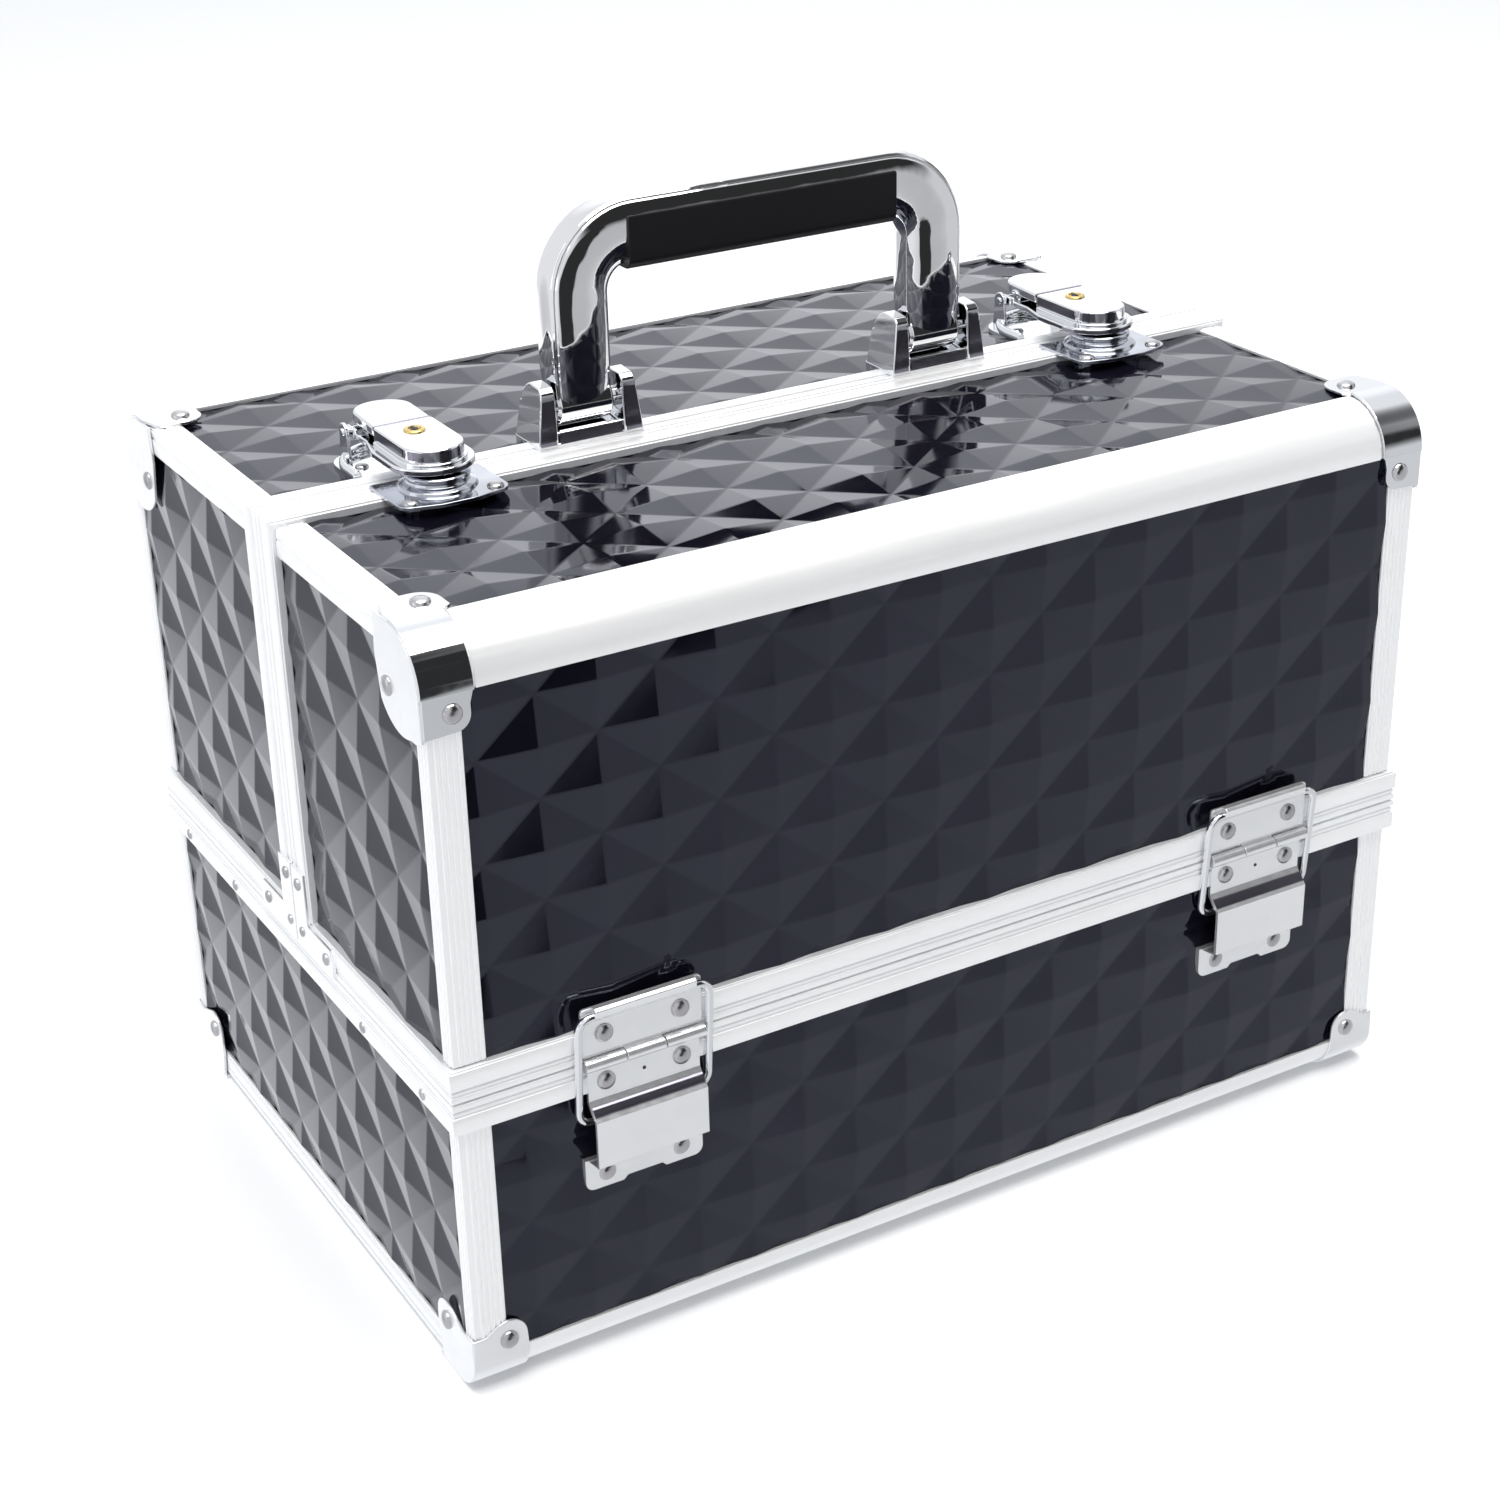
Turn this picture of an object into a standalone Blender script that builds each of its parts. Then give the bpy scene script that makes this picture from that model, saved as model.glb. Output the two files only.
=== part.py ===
"""Aluminium-framed makeup train case: a base box, two upper halves that open outwards on stop
hinges, level-swinging trays inside, a folding handle and two key latches.

Metres, +Z up. X runs along the case, -Y is the front. The origin is under the middle of the case,
on the surface that it stands on.
"""

import math

import bmesh
import bpy
from mathutils import Matrix, Vector

# --- Driving dimensions -------------------------------------------------------------------------
WIDTH = 0.360  # outer faces of the edge rails, along X
DEPTH = 0.240  # outer faces of the edge rails, along Y
HEIGHT = 0.254  # outer face of the top rails
PART_Z = 0.1077  # where the halves meet the base
PART_Y = -0.006  # where the front half meets the rear half
GAP = 0.0003  # clearance between pieces that touch

RAIL = 0.0012  # sheet thickness of the edge rails
PANEL_INSET = 0.0015  # the panels sit this far inside the rails' outer faces
WALL = 0.004  # panel with its lining
RIM_BAND = 0.0111  # width of each rim on its outer face
RIM_PROUD = 0.0015  # the rims stand this far outside the edge rails
RIM_LIP = 0.00115  # the rim's lip over the panel's edge
ROUND_TOP = 0.017  # radius of the long top rails
ROUND_BOTTOM = 0.012  # radius of the long bottom rails
RAIL_LONG_FLANGE = 0.011  # vertical rails, on the front and rear faces
RAIL_SIDE_FLANGE = 0.0065  # vertical rails, on the end faces
RAIL_SHORT = 0.0095  # short rails along Y, on both of their faces

SHEET = 0.0010  # pressed steel of the corner brackets
FOOT = SHEET + GAP  # the base frame stands on the brackets' undersides
PLATE = 0.0012  # pressed steel of the hinges and plates

HALF_X = WIDTH / 2
HALF_Y = DEPTH / 2
PANEL_X = HALF_X - PANEL_INSET
PANEL_Y = HALF_Y - PANEL_INSET
PANEL_TOP = HEIGHT - PANEL_INSET
INNER_X = PANEL_X - WALL
INNER_Y = PANEL_Y - WALL
INNER_TOP = PANEL_TOP - WALL
RIM_X = HALF_X + RIM_PROUD
RIM_Y = HALF_Y + RIM_PROUD
RIM_TOP = HEIGHT + RIM_PROUD

# Stop hinges
HINGE_X = 0.119
HINGE_AXIS_Y = RIM_Y + 0.0023
KNUCKLE_RADIUS = 0.0020
PIN_RADIUS = 0.0009
LEAF_HALF_WIDTH = 0.0205
SHELF_HALF_WIDTH = 0.0170
BAIL_RADIUS = 0.0012
BAIL_HALF_WIDTH = 0.0224
BAIL_PIVOT_Y = HINGE_AXIS_Y + 0.0012
BAIL_PIVOT_Z = PART_Z + 0.0173
BAIL_FOOT_Y = HINGE_AXIS_Y - 0.0018
BAIL_FOOT_Z = BAIL_PIVOT_Z - 0.038
POCKET_Y = HINGE_AXIS_Y + 0.0033
POCKET_TOP = 0.0902
POCKET_BOTTOM = 0.0722
HINGE_FOOT_END = 0.0618

# Handle
HANDLE_X = 0.067  # middle of each leg
HANDLE_Y = 0.0035
HANDLE_PIVOT_Z = 0.267
HANDLE_TOP = 0.332
BAR_HEIGHT = 0.0220  # in the bow's plane
STRIP = 0.0030  # chrome left over the grip
BAR_DEPTH = 0.014
BEND = 0.019  # radius of the bow's middle line
GRIP_HALF_LENGTH = 0.050

# Latches
LATCH_X = 0.1265
LATCH_PIN_Y = 0.025
LATCH_PIN_Z = 0.2645
FLANGE_LOW = 0.2625
BOX_LOW = 0.2641
BOX_TOP = 0.2715
LOCK_Y = -0.002

# Trays: places are (distance inwards from the hinge axis, height over it)
TRAY_HALF_X = 0.166
TRAY_WALL = 0.0018
LOWER_PIVOT = (0.042, 0.032)
UPPER_PIVOT = (0.088, 0.067)
LOWER_TRAY = (0.018, 0.012, 0.054)  # front edge, underside, top edge
UPPER_TRAY = (0.0245, 0.057, 0.100)
TRAY_BACK_CLEARANCE = 0.006  # from the parting plane
LINK_PIVOT = (0.020, -0.007)
LINK_X = 0.1688  # middle of the link's thickness
LINK_THICKNESS = 0.0012
LINK_HALF_WIDTH = 0.0040
TRAY_PIN_RADIUS = 0.0022

# --- Scene helpers ------------------------------------------------------------------------------


def clear_scene():
    for item in list(bpy.data.objects):
        bpy.data.objects.remove(item)


def new_collection(name):
    collection = bpy.data.collections.new(name)
    bpy.context.scene.collection.children.link(collection)
    return collection


def material(name, colour, roughness, metallic=0.0):
    made = bpy.data.materials.new(name)
    made.use_nodes = True
    shader = made.node_tree.nodes["Principled BSDF"]
    shader.inputs["Base Color"].default_value = (*colour, 1.0)
    shader.inputs["Roughness"].default_value = roughness
    shader.inputs["Metallic"].default_value = metallic
    return made


clear_scene()
PARTS = new_collection("makeup_train_case")
CUTTERS = new_collection("cutters")
PANEL = material("black_embossed_panel", (0.018, 0.019, 0.024), 0.16)
ALUMINIUM = material("satin_aluminium", (0.86, 0.87, 0.88), 0.30, 1.0)
CHROME = material("bright_chrome", (0.80, 0.81, 0.83), 0.08, 1.0)
STEEL = material("zinc_plated_steel", (0.66, 0.67, 0.69), 0.26, 1.0)
GRIP = material("black_grip", (0.020, 0.018, 0.020), 0.45)
BRASS = material("brass", (0.78, 0.58, 0.24), 0.25, 1.0)
TRAY_PLASTIC = material("black_tray_plastic", (0.030, 0.030, 0.032), 0.55)


def place(name, mesh, finish, origin=(0.0, 0.0, 0.0)):
    """A part from a mesh modelled in world coordinates, with its own origin at the given point."""
    mesh.transform(Matrix.Translation(-Vector(origin)))
    part = bpy.data.objects.new(name, mesh)
    part.location = origin
    mesh.materials.append(finish)
    PARTS.objects.link(part)
    return part


def to_mesh(shape, name):
    mesh = bpy.data.meshes.new(name)
    shape.to_mesh(mesh)
    shape.free()
    return mesh


def box_shape(low, high):
    """A bmesh box between two corners given in any order."""
    shape = bmesh.new()
    bmesh.ops.create_cube(shape, size=1.0)
    size = [abs(b - a) for a, b in zip(low, high)]
    middle = [(a + b) / 2 for a, b in zip(low, high)]
    bmesh.ops.scale(shape, vec=size, verts=shape.verts)
    bmesh.ops.translate(shape, vec=middle, verts=shape.verts)
    return shape


def round_long_edges(shape, corners, radius, segments=6):
    """Rounds the edges along X whose (y, z) is one of the corners."""
    chosen = []
    for edge in shape.edges:
        a, b = (vert.co for vert in edge.verts)
        if abs(a.y - b.y) > 1e-6 or abs(a.z - b.z) > 1e-6:
            continue
        if any(abs(a.y - y) < 1e-6 and abs(a.z - z) < 1e-6 for y, z in corners):
            chosen.append(edge)
    bmesh.ops.bevel(
        shape, geom=chosen, offset=radius, segments=segments, profile=0.5, affect="EDGES"
    )


def box_mesh(name, low, high, corners=(), radius=0.0):
    shape = box_shape(low, high)
    if corners:
        round_long_edges(shape, corners, radius)
    return to_mesh(shape, name)


def helper(name, mesh):
    """An object that only cuts or joins, kept out of the model."""
    tool = bpy.data.objects.new(name, mesh)
    tool.hide_render = True
    tool.display_type = "WIRE"
    CUTTERS.objects.link(tool)
    return tool


def combine(part, operation, meshes):
    """Adds a Boolean modifier to the part for each mesh, given in world coordinates."""
    for mesh in meshes:
        tool = helper(f"{part.name}_{operation.lower()}", mesh)
        modifier = part.modifiers.new(operation.title(), "BOOLEAN")
        modifier.operation = operation
        modifier.solver = "EXACT"
        modifier.object = tool
    return part


def box_tool(low, high, corners=(), radius=0.0):
    return box_mesh("box_tool", low, high, corners, radius)


def rod_mesh(centre, radius, length, axis="X", segments=16, end_radius=None):
    """A rod, cone or disc about its centre, along one axis."""
    shape = bmesh.new()
    bmesh.ops.create_cone(
        shape,
        cap_ends=True,
        segments=segments,
        radius1=radius,
        radius2=radius if end_radius is None else end_radius,
        depth=length,
    )
    turn = {
        "X": Matrix.Rotation(math.radians(90), 4, "Y"),
        "Y": Matrix.Rotation(math.radians(-90), 4, "X"),
        "Z": Matrix.Identity(4),
    }[axis]
    bmesh.ops.transform(shape, matrix=Matrix.Translation(centre) @ turn, verts=shape.verts)
    return to_mesh(shape, "rod_tool")


def ribbon_mesh(name, outline, x_low, x_high):
    """An open surface: a line in the YZ plane drawn out along X, for a Solidify modifier."""
    shape = bmesh.new()
    verts = [shape.verts.new((x_low, y, z)) for y, z in outline]
    edges = [shape.edges.new(pair) for pair in zip(verts, verts[1:])]
    drawn = bmesh.ops.extrude_edge_only(shape, edges=edges)
    moved = [item for item in drawn["geom"] if isinstance(item, bmesh.types.BMVert)]
    bmesh.ops.translate(shape, vec=(x_high - x_low, 0, 0), verts=moved)
    return to_mesh(shape, name)


def outline_mesh(name, points, thickness, place_matrix):
    """A flat plate from an outline in its own XY plane, centred on that plane."""
    curve = bpy.data.curves.new(name, "CURVE")
    curve.dimensions = "2D"
    curve.fill_mode = "BOTH"
    curve.extrude = thickness / 2
    spline = curve.splines.new("POLY")
    spline.points.add(len(points) - 1)
    for point, (x, y) in zip(spline.points, points):
        point.co = (x, y, 0.0, 1.0)
    spline.use_cyclic_u = True
    return curve_to_mesh(name, curve, place_matrix)


def curve_to_mesh(name, curve, place_matrix):
    """The curve's evaluated mesh in world coordinates, with its caps welded."""
    guide = bpy.data.objects.new(name, curve)
    bpy.context.scene.collection.objects.link(guide)
    bpy.context.view_layer.update()
    graph = bpy.context.evaluated_depsgraph_get()
    mesh = bpy.data.meshes.new_from_object(guide.evaluated_get(graph))
    bpy.data.objects.remove(guide)
    bpy.data.curves.remove(curve)
    shape = bmesh.new()
    shape.from_mesh(mesh)
    bpy.data.meshes.remove(mesh)
    bmesh.ops.remove_doubles(shape, verts=shape.verts, dist=1e-5)
    bmesh.ops.transform(shape, matrix=place_matrix, verts=shape.verts)
    bmesh.ops.recalc_face_normals(shape, faces=shape.faces)
    return to_mesh(shape, name)


def arc(centre, radius, start, end, steps):
    """Points of an arc, its angles in degrees."""
    angles = [math.radians(start + (end - start) * i / steps) for i in range(steps + 1)]
    return [(centre[0] + radius * math.cos(a), centre[1] + radius * math.sin(a)) for a in angles]


def rounded_rectangle(x_low, x_high, y_low, y_high, radius, steps=4):
    points = []
    for cx, cy, start in (
        (x_high - radius, y_high - radius, 0),
        (x_low + radius, y_high - radius, 90),
        (x_low + radius, y_low + radius, 180),
        (x_high - radius, y_low + radius, 270),
    ):
        points += arc((cx, cy), radius, start, start + 90, steps)
    return points


def smooth(part, degrees=35):
    part.data.shade_smooth()
    part.data.set_sharp_from_angle(angle=math.radians(degrees))
    return part


FAR = 0.5  # longer than any wall that a cutter goes through

# --- Base ---------------------------------------------------------------------------------------


def base_shell():
    top = PART_Z - GAP / 2 - RIM_LIP - GAP
    floor = FOOT + PANEL_INSET
    corners = [(-PANEL_Y, floor), (PANEL_Y, floor)]
    mesh = box_mesh(
        "base_shell",
        (-PANEL_X, -PANEL_Y, floor),
        (PANEL_X, PANEL_Y, top),
        corners,
        ROUND_BOTTOM - PANEL_INSET,
    )
    part = place("base_shell", mesh, PANEL)
    inside_floor = floor + WALL
    cavity = box_tool(
        (-INNER_X, -INNER_Y, inside_floor),
        (INNER_X, INNER_Y, FAR),
        [(-INNER_Y, inside_floor), (INNER_Y, inside_floor)],
        ROUND_BOTTOM - WALL,
    )
    return combine(part, "DIFFERENCE", [cavity])


def base_edge_frame():
    top = PART_Z - RIM_BAND - GAP
    corners = [(-HALF_Y, FOOT), (HALF_Y, FOOT)]
    mesh = box_mesh(
        "base_edge_frame",
        (-HALF_X, -HALF_Y, FOOT),
        (HALF_X, HALF_Y, top),
        corners,
        ROUND_BOTTOM,
    )
    part = place("base_edge_frame", mesh, ALUMINIUM)
    inner_x, inner_y, inner_z = HALF_X - RAIL, HALF_Y - RAIL, FOOT + RAIL
    inside = box_tool(
        (-inner_x, -inner_y, inner_z),
        (inner_x, inner_y, FAR),
        [(-inner_y, inner_z), (inner_y, inner_z)],
        ROUND_BOTTOM - RAIL,
    )
    long_x = HALF_X - RAIL_LONG_FLANGE
    short_x = HALF_X - RAIL_SHORT
    side_y = HALF_Y - RAIL_SIDE_FLANGE
    windows = [
        box_tool((-long_x, -FAR, FOOT + ROUND_BOTTOM), (long_x, FAR, FAR)),
        box_tool((-FAR, -side_y, FOOT + RAIL_SHORT), (FAR, side_y, FAR)),
        box_tool((-short_x, ROUND_BOTTOM - HALF_Y, -FAR), (short_x, HALF_Y - ROUND_BOTTOM, FAR)),
    ]
    return smooth(combine(part, "DIFFERENCE", [inside, *windows]))


def base_rim():
    top = PART_Z - GAP / 2
    mesh = box_mesh("base_rim", (-RIM_X, -RIM_Y, PART_Z - RIM_BAND), (RIM_X, RIM_Y, top))
    part = place("base_rim", mesh, ALUMINIUM)
    x, y = PANEL_X + GAP, PANEL_Y + GAP
    cuts = [
        box_tool((-x, -y, 0), (x, y, top - RIM_LIP)),
        box_tool((-INNER_X, -INNER_Y, 0), (INNER_X, INNER_Y, FAR)),
    ]
    return combine(part, "DIFFERENCE", cuts)


# --- Upper halves: side is -1 for the front half and 1 for the rear half -----------------------
SIDES = {"front": -1, "rear": 1}
ENDS = {"left": -1, "right": 1}


def half_shell(name, side):
    low = PART_Z + GAP / 2 + RIM_LIP + GAP
    inner_edge = PART_Y + side * (GAP / 2 + RIM_LIP + GAP)
    mesh = box_mesh(
        f"{name}_half_shell",
        (-PANEL_X, side * PANEL_Y, low),
        (PANEL_X, inner_edge, PANEL_TOP),
        [(side * PANEL_Y, PANEL_TOP)],
        ROUND_TOP - PANEL_INSET,
    )
    part = place(f"{name}_half_shell", mesh, PANEL, hinge_point(side))
    cavity = box_tool(
        (-INNER_X, side * INNER_Y, -FAR),
        (INNER_X, -side * FAR, INNER_TOP),
        [(side * INNER_Y, INNER_TOP)],
        ROUND_TOP - WALL,
    )
    return combine(part, "DIFFERENCE", [cavity])


def half_edge_frame(name, side):
    low = PART_Z + RIM_BAND + GAP
    inner_edge = PART_Y + side * (RIM_BAND + GAP)
    mesh = box_mesh(
        f"{name}_half_edge_frame",
        (-HALF_X, side * HALF_Y, low),
        (HALF_X, inner_edge, HEIGHT),
        [(side * HALF_Y, HEIGHT)],
        ROUND_TOP,
    )
    part = place(f"{name}_half_edge_frame", mesh, ALUMINIUM, hinge_point(side))
    inner_x, inner_y, inner_z = HALF_X - RAIL, HALF_Y - RAIL, HEIGHT - RAIL
    inside = box_tool(
        (-inner_x, side * inner_y, -FAR),
        (inner_x, -side * FAR, inner_z),
        [(side * inner_y, inner_z)],
        ROUND_TOP - RAIL,
    )
    long_x = HALF_X - RAIL_LONG_FLANGE
    short_x = HALF_X - RAIL_SHORT
    side_y = side * (HALF_Y - RAIL_SIDE_FLANGE)
    top_y = side * (HALF_Y - ROUND_TOP)
    windows = [
        box_tool((-long_x, side * FAR, -FAR), (long_x, top_y, HEIGHT - ROUND_TOP)),
        box_tool((-FAR, side_y, -FAR), (FAR, -side * FAR, HEIGHT - RAIL_SHORT)),
        box_tool((-short_x, top_y, 0), (short_x, -side * FAR, FAR)),
    ]
    return smooth(combine(part, "DIFFERENCE", [inside, *windows]))


def half_rim(name, side):
    low = PART_Z + GAP / 2
    inner_edge = PART_Y + side * GAP / 2
    mesh = box_mesh(
        f"{name}_half_rim", (-RIM_X, side * RIM_Y, low), (RIM_X, inner_edge, RIM_TOP)
    )
    part = place(f"{name}_half_rim", mesh, ALUMINIUM, hinge_point(side))
    x, y, z = PANEL_X + GAP, PANEL_Y + GAP, PANEL_TOP + GAP
    cuts = [
        box_tool((-x, side * y, low + RIM_LIP), (x, inner_edge + side * RIM_LIP, z)),
        box_tool((-FAR, side * FAR, PART_Z + RIM_BAND), (FAR, PART_Y + side * RIM_BAND, FAR)),
        box_tool((-INNER_X, side * INNER_Y, -FAR), (INNER_X, -side * FAR, INNER_TOP)),
    ]
    return combine(part, "DIFFERENCE", cuts)


def hinge_point(side):
    return (0.0, side * HINGE_AXIS_Y, PART_Z)


# --- Corner brackets ----------------------------------------------------------------------------
BRACKET_X = 0.019  # reach along X
BRACKET_Y = 0.026  # reach along Y
BRACKET_Z = 0.023  # reach along Z


def corner_bracket(name, side, end, at_top):
    """A pressed corner of three lobes round the end of a long rail."""
    out = SHEET + GAP
    reach_x = BRACKET_X
    if at_top:
        outer_z, inner_z, far_z = HEIGHT + out, HEIGHT + GAP, HEIGHT - BRACKET_Z - 0.006
        radius, origin = ROUND_TOP, hinge_point(side)
    else:
        outer_z, inner_z, far_z = 0.0, SHEET, BRACKET_Z
        radius, origin = ROUND_BOTTOM, (0.0, 0.0, 0.0)
    outer_x, inner_x = end * (HALF_X + out), end * (HALF_X + GAP)
    outer_y, inner_y = side * (HALF_Y + out), side * (HALF_Y + GAP)
    near_x = end * (HALF_X - reach_x)
    near_y = side * (HALF_Y - BRACKET_Y)
    mesh = box_mesh(
        name,
        (outer_x, outer_y, outer_z),
        (near_x, near_y, far_z),
        [(outer_y, outer_z)],
        radius + out,
    )
    part = place(name, mesh, CHROME if at_top else STEEL, origin)
    past = -1 if at_top else 1
    inside = box_tool(
        (inner_x, inner_y, inner_z),
        (-end * FAR, -side * FAR, past * FAR),
        [(inner_y, inner_z)],
        radius + GAP,
    )
    return smooth(combine(part, "DIFFERENCE", [inside]))


# --- Plates that tie the two arms of a half's rim ----------------------------------------------
ARM_REACH_Y = 0.029
ARM_REACH_Z = 0.0285
ARM_WIDTH = 0.0100


def rim_corner_plate(name, side, end):
    inner_x = RIM_X + GAP
    near = PART_Y + side * GAP
    low = PART_Z + GAP
    points = [
        (0.0, 0.0),
        (ARM_REACH_Y, 0.0),
        (ARM_REACH_Y + 0.001, ARM_WIDTH / 2),
        (ARM_REACH_Y - 0.001, ARM_WIDTH),
        (ARM_WIDTH, ARM_WIDTH),
        (ARM_WIDTH, ARM_REACH_Z),
        (0.0, ARM_REACH_Z),
    ]
    middle_x = end * (inner_x + PLATE / 2)
    turn = Matrix(((0, 0, 1, middle_x), (side, 0, 0, near), (0, 1, 0, low), (0, 0, 0, 1)))
    mesh = outline_mesh(name, points, PLATE, turn)
    return place(name, mesh, STEEL, hinge_point(side))


# --- Stop hinges --------------------------------------------------------------------------------


def solidify(part, thickness):
    modifier = part.modifiers.new("Solidify", "SOLIDIFY")
    modifier.thickness = thickness
    modifier.offset = 0.0
    modifier.use_even_offset = True
    return part


def rivet(centre, axis="Y", radius=0.0024, height=0.0016):
    return rod_mesh(centre, radius, height, axis, segments=12)


def hinge_upper_leaf(name, side, x):
    """Plate on the half's rim, with the middle knuckle and a channel for the bail."""
    face = side * (RIM_Y + GAP + PLATE / 2)
    shelf_y = side * (BAIL_PIVOT_Y + BAIL_RADIUS + 0.0012)
    shelf_z = BAIL_PIVOT_Z - BAIL_RADIUS - GAP - PLATE / 2
    low_z = PART_Z + KNUCKLE_RADIUS + 0.0005
    high_z = BAIL_PIVOT_Z + 0.0030
    mesh = box_mesh(
        name,
        (x - LEAF_HALF_WIDTH, side * (RIM_Y + GAP), low_z),
        (x + LEAF_HALF_WIDTH, side * (RIM_Y + GAP + PLATE), high_z),
    )
    part = place(name, mesh, STEEL, hinge_point(side))
    third = LEAF_HALF_WIDTH / 3
    shelf = box_tool(
        (x - SHELF_HALF_WIDTH, face, shelf_z - PLATE / 2),
        (x + SHELF_HALF_WIDTH, shelf_y, shelf_z + PLATE / 2),
    )
    tongue = box_tool(
        (x - third, side * (RIM_Y + GAP), PART_Z),
        (x + third, side * (RIM_Y + GAP + PLATE), low_z + 0.001),
    )
    knuckle = rod_mesh((x, side * HINGE_AXIS_Y, PART_Z), KNUCKLE_RADIUS, 2 * third)
    bore = rod_mesh((x, side * HINGE_AXIS_Y, PART_Z), PIN_RADIUS + GAP, FAR / 5, segments=12)
    rivet_z = PART_Z + 0.0095
    rivets = [rivet((x + dx, side * (RIM_Y + GAP + 0.0016), rivet_z)) for dx in (-0.013, 0.013)]
    combine(part, "UNION", [shelf, tongue, knuckle, *rivets])
    return smooth(combine(part, "DIFFERENCE", [bore]))


def hinge_lower_leaf(name, side, x):
    """Plate on the base's rim that steps out into a pocket for the bail and back to the panel."""
    face = side * (RIM_Y + GAP + PLATE / 2)
    panel_face = side * (PANEL_Y + GAP + PLATE / 2)
    out = side * POCKET_Y
    outline = [
        (face, PART_Z - KNUCKLE_RADIUS - 0.0005),
        (face, PART_Z - RIM_BAND - 0.0035),
        (out, POCKET_TOP),
        (out, POCKET_BOTTOM),
        (panel_face, POCKET_BOTTOM - 0.0012),
        (panel_face, HINGE_FOOT_END),
    ]
    mesh = ribbon_mesh(name, outline, x - LEAF_HALF_WIDTH, x + LEAF_HALF_WIDTH)
    part = solidify(place(name, mesh, STEEL), PLATE)
    third = LEAF_HALF_WIDTH / 3
    joins = []
    for near, far in ((-3, -1), (1, 3)):
        low_x, high_x = x + near * third + GAP, x + far * third - GAP
        joins.append(
            box_tool(
                (low_x, side * (RIM_Y + GAP), PART_Z),
                (high_x, side * (RIM_Y + GAP + PLATE), PART_Z - KNUCKLE_RADIUS - 0.0015),
            )
        )
        middle = (low_x + high_x) / 2
        joins.append(
            rod_mesh((middle, side * HINGE_AXIS_Y, PART_Z), KNUCKLE_RADIUS, high_x - low_x)
        )
    joins.append(
        rod_mesh((x, side * HINGE_AXIS_Y, PART_Z), PIN_RADIUS, 1.9 * LEAF_HALF_WIDTH, segments=10)
    )
    for dx in (-0.013, 0.013):
        joins.append(rivet((x + dx, side * (RIM_Y + GAP + 0.0016), PART_Z - 0.0072)))
        joins.append(rivet((x + dx, side * (PANEL_Y + GAP + 0.0016), 0.066)))
    return smooth(combine(part, "UNION", joins))


def hinge_bail(name, side, x):
    """Closed wire loop: its top bar turns in the upper leaf, its bottom bar slides in the pocket."""
    length = math.hypot(BAIL_PIVOT_Z - BAIL_FOOT_Z, BAIL_PIVOT_Y - BAIL_FOOT_Y)
    lean = math.atan2(BAIL_PIVOT_Y - BAIL_FOOT_Y, BAIL_PIVOT_Z - BAIL_FOOT_Z)
    curve = bpy.data.curves.new(name, "CURVE")
    curve.dimensions = "3D"
    curve.bevel_depth = BAIL_RADIUS
    curve.bevel_resolution = 1
    points = rounded_rectangle(-BAIL_HALF_WIDTH, BAIL_HALF_WIDTH, -length, 0.0, 0.004, 3)
    spline = curve.splines.new("POLY")
    spline.points.add(len(points) - 1)
    for point, (px, pz) in zip(spline.points, points):
        point.co = (px, 0.0, pz, 1.0)
    spline.use_cyclic_u = True
    pivot = (x, side * BAIL_PIVOT_Y, BAIL_PIVOT_Z)
    turn = Matrix.Translation(pivot) @ Matrix.Rotation(-side * lean, 4, "X")
    mesh = curve_to_mesh(name, curve, turn)
    return smooth(place(name, mesh, CHROME, pivot), 60)


# --- Handle -------------------------------------------------------------------------------------


def bow_path():
    """The bow's middle line in the XZ plane, from the left foot to the right foot."""
    top = HANDLE_TOP - BAR_HEIGHT / 2
    left = arc((-HANDLE_X + BEND, top - BEND), BEND, 180, 90, 8)
    right = arc((HANDLE_X - BEND, top - BEND), BEND, 90, 0, 8)
    foot = HANDLE_PIVOT_Z
    return [(-HANDLE_X, foot), *left, *right, (HANDLE_X, foot)]


def swept_bar(name, path, width, depth, radius):
    """A bar of rounded section drawn along a path in the XZ plane."""
    section = bpy.data.curves.new(f"{name}_section", "CURVE")
    section.dimensions = "2D"
    outline = rounded_rectangle(-width / 2, width / 2, -depth / 2, depth / 2, radius, 3)
    spline = section.splines.new("POLY")
    spline.points.add(len(outline) - 1)
    for point, (px, py) in zip(spline.points, outline):
        point.co = (px, py, 0.0, 1.0)
    spline.use_cyclic_u = True
    section_object = helper(f"{name}_section", section)
    curve = bpy.data.curves.new(name, "CURVE")
    curve.dimensions = "2D"
    curve.bevel_mode = "OBJECT"
    curve.bevel_object = section_object
    curve.use_fill_caps = True
    spline = curve.splines.new("POLY")
    spline.points.add(len(path) - 1)
    for point, (px, pz) in zip(spline.points, path):
        point.co = (px, pz, 0.0, 1.0)
    stand = Matrix.Translation((0, HANDLE_Y, 0)) @ Matrix.Rotation(math.radians(90), 4, "X")
    mesh = curve_to_mesh(name, curve, stand)
    bpy.data.objects.remove(section_object)
    return mesh


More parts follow.
